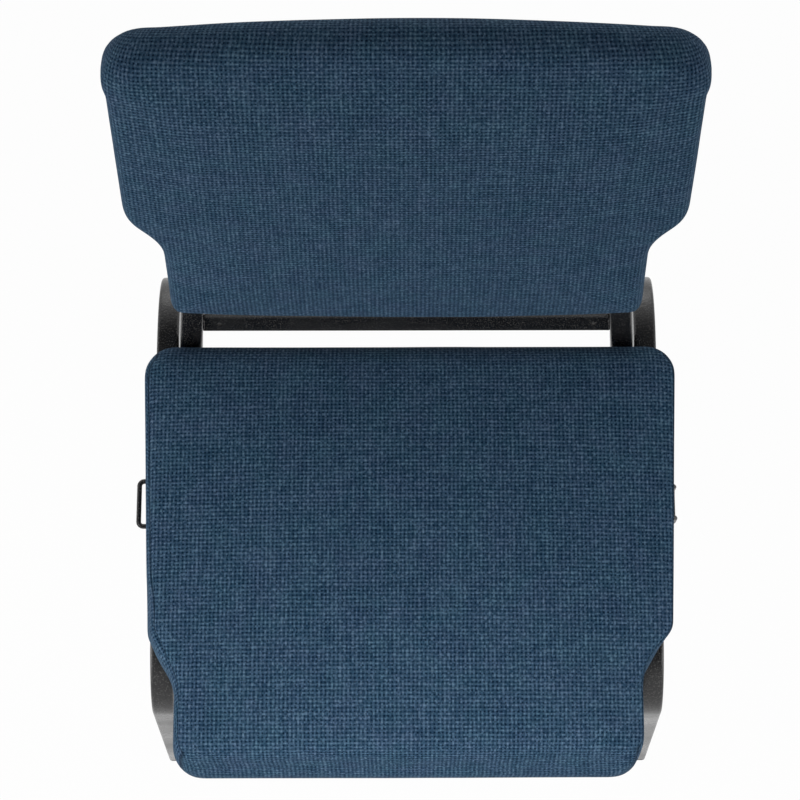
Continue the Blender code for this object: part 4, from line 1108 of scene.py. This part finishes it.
def sweptRod(path, sections, hint):
    # A closed rod along the path, with a section for each of its points
    rings = [sectionRing(*spot, hint) for spot in zip(path, pathDirections(path), sections)]
    count = len(sections[0])
    points = [point for ring in rings for point in ring]
    faces = bandFaces(len(rings), count, False)
    faces += [tuple(range(count))[::-1], tuple(range(len(points) - count, len(points)))]
    return points, faces


def joinParts(parts):
    # One list of points and one of faces from many small meshes
    points, faces = [], []
    for ownPoints, ownFaces in parts:
        faces += [tuple(index + len(points) for index in face) for face in ownFaces]
        points += ownPoints
    return points, faces


def addPiece(name, points, faces, finish, replaced=()):
    mesh = bpy.data.meshes.new(name)
    mesh.from_pydata([tuple(point) for point in points], [], faces)
    mesh.shade_smooth()
    mesh.set_sharp_from_angle(angle=tubeSet["sharp"])
    mesh.materials.append(finishes[finish])
    piece = bpy.data.objects.new(name, mesh)
    scene.collection.objects.link(piece)
    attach(piece, "root")
    if replaced:
        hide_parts(*replaced)
    return piece


def makeTube(name, path, node, cutZ=None):
    # Hollow square tube; its ends may be cut level to stand on the floor
    tube = tubeSet
    bore = tube["size"] - 2 * tube["wall"]
    directions = pathDirections(path)
    shells = []
    for size, radius in ((tube["size"], tube["corner"]), (bore, tube["corner"] - tube["wall"])):
        section = squareSection(size, radius, tube["cornerSteps"])
        rings = [sectionRing(p, d, section, Vector((1, 0, 0))) for p, d in zip(path, directions)]
        if cutZ is not None:
            for end in (0, -1):
                way = directions[end]
                rings[end] = [point + way * ((cutZ - point.z) / way.z) for point in rings[end]]
        shells.append(rings)
    loop = shells[0] + shells[1][::-1]
    points = [point for ring in loop for point in ring]
    addPiece(name, points, bandFaces(len(loop), len(loop[0]), True), "veinPaint", (node,))


def backSpot(x, y, rise):
    # From the back's own frame (across, to the rear, up the uprights) to the world
    lean = Matrix.Rotation(-backSet["recline"], 3, "X")
    return lean @ Vector((x, y, rise)) + Vector((0.0, backSet["bendY"], backSet["bendZ"]))


def uprightX(rise):
    return tubeSet["uprightX"] - rise * math.tan(tubeSet["uprightLean"])


def makeFrameTubes():
    tube = tubeSet
    bend = tube["bendSteps"]
    for label, side in (("left", -1), ("right", 1)):
        route = [(tube["footX"], tube["frontFootY"], 0.0), (tube["frontX"], tube["frontLegY"], tube["railZ"]),
                 (tube["railX"], tube["uprightFrontY"], tube["railZ"]),
                 (tube["railX"], tube["rearLegY"], tube["railZ"]),
                 (tube["footX"], tube["rearFootY"], 0.0)]
        corners = [Vector((side * x, y, z)) for x, y, z in route]
        radii = (tube["frontBend"], tube["easeBend"], tube["rearBend"])
        path = roundedPath(corners, radii, (bend, tube["easeSteps"], bend))
        makeTube(label + "LegHoop", path, label + "_leg_hoop", tube["cutZ"])
        corners = [Vector((side * tube["uprightX"], tube["uprightFrontY"], tube["uprightZ"])),
                   Vector((side * tube["uprightX"], backSet["bendY"], tube["uprightZ"])),
                   backSpot(side * uprightX(tube["uprightLength"]), 0.0, tube["uprightLength"])]
        path = roundedPath(corners, (tube["uprightBend"],), (bend,))
        makeTube(label + "Upright", path, label + "_back_upright")
    print("frame tubes made")


# Weld beads: short lumpy runs where the tubes, the bar and the wires meet

weldSet = {
    "radius": 0.0017, "ripple": 0.16, "pitch": 0.0026, "step": 0.0007, "fewest": 6, "tip": 0.25, "sides": 10,
    "hint": (0.31, 0.55, 0.77),         # any direction that no bead runs along
    "barRise": 0.0574, "barHeight": 0.0225, "barThickness": 0.0055, "barShare": 0.42,
    "railSink": 0.4, "railReach": 0.5, "railSteps": 8,
    "stitches": ((-0.052, -0.024), (0.040, 0.072)), "stitchRadius": 0.0024, "stitchLift": 0.0006,
    "gangY": -0.041, "wire": 0.0050, "wireRadius": 0.0010, "wireGap": 0.0003, "wireSteps": 24,
    "loop": (0.0510, 0.402), "hook": (0.0370, 0.408), "railFace": 0.2525,   # span and height of a wire
}


def beadMesh(path, radius):
    # A bead swells and narrows along its run, and tapers at its ends
    weld = weldSet
    points = np.array([tuple(p) for p in path])
    run = runLengths(points)
    count = max(weld["fewest"], round(run[-1] / weld["step"]))
    marks = np.linspace(0.0, run[-1], count + 1)
    even = [Vector([np.interp(mark, run, points[:, axis]) for axis in range(3)]) for mark in marks]
    sections = []
    for mark in marks:
        swell = 1 + weld["ripple"] * math.sin(2 * math.pi * mark / weld["pitch"])
        taper = min(1.0, weld["tip"] + min(mark, run[-1] - mark) / (2 * radius))
        sections.append(roundSection(radius * swell * taper, weld["sides"]))
    return sweptRod(even, sections, Vector(weld["hint"]))


def barWelds(side):
    weld, tube = weldSet, tubeSet
    reach = weld["barShare"] * weld["barHeight"]
    for face in (-1, 1):
        ends = []
        for rise in (weld["barRise"] - reach, weld["barRise"] + reach):
            x = uprightX(rise) - tube["size"] / 2 / math.cos(tube["uprightLean"])
            ends.append(backSpot(side * x, face * weld["barThickness"] / 2, rise))
        yield ends, weld["radius"]


def railWelds(side):
    # Round three faces of each cross rail's end
    weld, tube = weldSet, tubeSet
    half = tube["size"] / 2
    edge = half - weld["railSink"] * weld["radius"]
    high, low = tube["railZ"] + weld["railReach"] * half, tube["railZ"] - edge
    for rail in ("front_seat_rail", "rear_seat_rail"):
        first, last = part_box(rail)
        x = last[0] if side > 0 else first[0]
        y = (first[1] + last[1]) / 2
        route = ((y + edge, high), (y + edge, low), (y - edge, low), (y - edge, high))
        corners = [Vector((x, *spot)) for spot in route]
        yield roundedPath(corners, (tube["corner"],) * 2, (weld["railSteps"],) * 2), weld["radius"]


def stitchWelds(side):
    # Between the side rail and the upright beside it
    weld, tube = weldSet, tubeSet
    x = side * (tube["railX"] - tube["size"] / 2)
    z = tube["railZ"] - tube["size"] / 2 + weld["stitchLift"]
    for start, end in weld["stitches"]:
        yield [Vector((x, start, z)), Vector((x, end, z))], weld["stitchRadius"]


def wireWelds(side):
    weld = weldSet
    span, z = weld["loop"] if side < 0 else weld["hook"]
    for arm in (-1, 1):
        y = weld["gangY"] + arm * (span - weld["wire"]) / 2
        circle = roundSection(weld["wire"] / 2 + weld["wireGap"], weld["wireSteps"])
        ring = [Vector((side * weld["railFace"], y + v, z + u)) for u, v in circle]
        yield ring + ring[:2], weld["wireRadius"]


def makeWelds():
    beads = []
    for side in (-1, 1):
        for group in (barWelds, railWelds, stitchWelds, wireWelds):
            beads += group(side)
    points, faces = joinParts([beadMesh(*bead) for bead in beads])
    addPiece("weldBeads", points, faces, "veinPaint")
    print("weld beads made:", len(beads))


# Dust cover stapled under the seat, sagging a little between the rails

liningSet = {
    "margin": 0.009, "bottom": 0.4164, "thickness": 0.0008, "columns": 44, "rows": 40,
    "sag": 0.0024, "sagHalf": 0.205,
    "creases": ((0.12, 95.0, 40.0), (0.10, 37.0, -120.0)),      # depth, waves across and along
}
stapleSet = {
    "inset": 0.007, "span": 0.010, "wire": 0.0004, "step": 0.046, "sides": 8,
    "leg": 0.0016, "bend": 0.0006, "bendSteps": 4, "sink": 0.6, "clearHalf": 0.222,
}


def liningSag(plan):
    x, y = plan[:, 0], plan[:, 1]
    reach = seatSet["frontY"] + liningSet["margin"], seatSet["rearY"] - liningSet["margin"]
    rails = [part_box(name) for name in ("front_seat_rail", "rear_seat_rail")]
    stops = [reach[0]] + [corner[1] for rail in rails for corner in rail] + [reach[1]]
    sag = np.zeros(len(plan))
    for low, high in zip(stops[::2], stops[1::2]):
        inside = np.clip((y - low) / (high - low), 0, 1)
        sag += np.sin(math.pi * inside) ** 2
    across = np.clip(1 - (abs(x) / liningSet["sagHalf"]) ** 4, 0, 1)
    crease = sum(deep * np.sin(x * u + y * v) for deep, u, v in liningSet["creases"])
    return liningSet["sag"] * sag * across * (1 + crease)


def makeLining():
    lining = liningSet
    margin = [(lining["margin"], 0.0)]
    curves = ringCurves({
        "outline": lambda level: seatOutline(1.0), "hollowCorner": 2, "shape": lambda plan, level: plan,
        "columns": lining["columns"], "rows": lining["rows"],
        "farProfile": margin, "sideProfile": margin, "nearProfile": margin,
    }, 0)
    plan = coonsGrid(curves).reshape(-1, 2)
    loop = ringLoop(curves)
    low = lining["bottom"] - liningSag(plan)
    high = low + lining["thickness"]
    points = np.concatenate([np.column_stack([plan, low]), np.column_stack([plan, high])])
    width = lining["columns"] + 1
    faces = []
    for j in range(lining["rows"]):
        for i in range(lining["columns"]):
            face = (j * width + i, j * width + i + 1, (j + 1) * width + i + 1, (j + 1) * width + i)
            faces += [face, tuple(len(plan) + v for v in reversed(face))]
    rim = gridRim(lining["columns"], lining["rows"])
    for here, after in zip(rim, rim[1:] + rim[:1]):
        faces.append((after, here, len(plan) + here, len(plan) + after))
    piece = addPiece("dustCover", points, faces, "dustLining", ("seat_dust_cover",))
    makeStaples(loop)


def makeStaples(loop):
    # Only where no rail runs right below the edge
    staple = stapleSet
    inward = -loopNormals(loop)
    run = runLengths(np.concatenate([loop, loop[:1]]))
    staples = []
    for mark in np.arange(staple["step"] / 2, run[-1], staple["step"]):
        index = int(np.searchsorted(run, mark)) % len(loop)
        spot = loop[index] + inward[index] * staple["inset"]
        if abs(spot[0]) > staple["clearHalf"]:
            continue
        along = Vector((-inward[index][1], inward[index][0], 0.0)) * staple["span"] / 2
        z = liningSet["bottom"] - float(liningSag(spot[None, :])[0]) - staple["sink"] * staple["wire"]
        middle = Vector((spot[0], spot[1], z))
        rise = Vector((0.0, 0.0, staple["leg"]))
        corners = [middle - along + rise, middle - along, middle + along, middle + along + rise]
        path = roundedPath(corners, (staple["bend"],) * 2, (staple["bendSteps"],) * 2)
        sections = [roundSection(staple["wire"], staple["sides"])] * len(path)
        staples.append(sweptRod(path, sections, Vector((-along.y, along.x, 0.0))))
    points, faces = joinParts(staples)
    addPiece("dustCoverStaples", points, faces, "zincPlate")
    print("staples made:", len(staples))


makeFrameTubes()
makeWelds()
makeLining()


# Finishes of the carried-over CAD nodes

nodeFinishes = {
    "veinPaint": ("rear_cross_bar", "front_seat_rail", "rear_seat_rail", "ganging_loop", "ganging_hook"),
    "blackNylon": ("front_left_glide", "front_right_glide", "rear_left_glide", "rear_right_glide"),
    "bumperRubber": ("left_stacking_bumper", "right_stacking_bumper"),
    "rawPlywood": ("seat_board", "back_board"),
    "zincPlate": tuple(name for name in nodes if "screw" in name or "tee_nut" in name),
}
for finish, names in nodeFinishes.items():
    for name in names:
        for slot in nodes[name].material_slots:
            slot.material = finishes[finish]
print("CAD nodes painted")
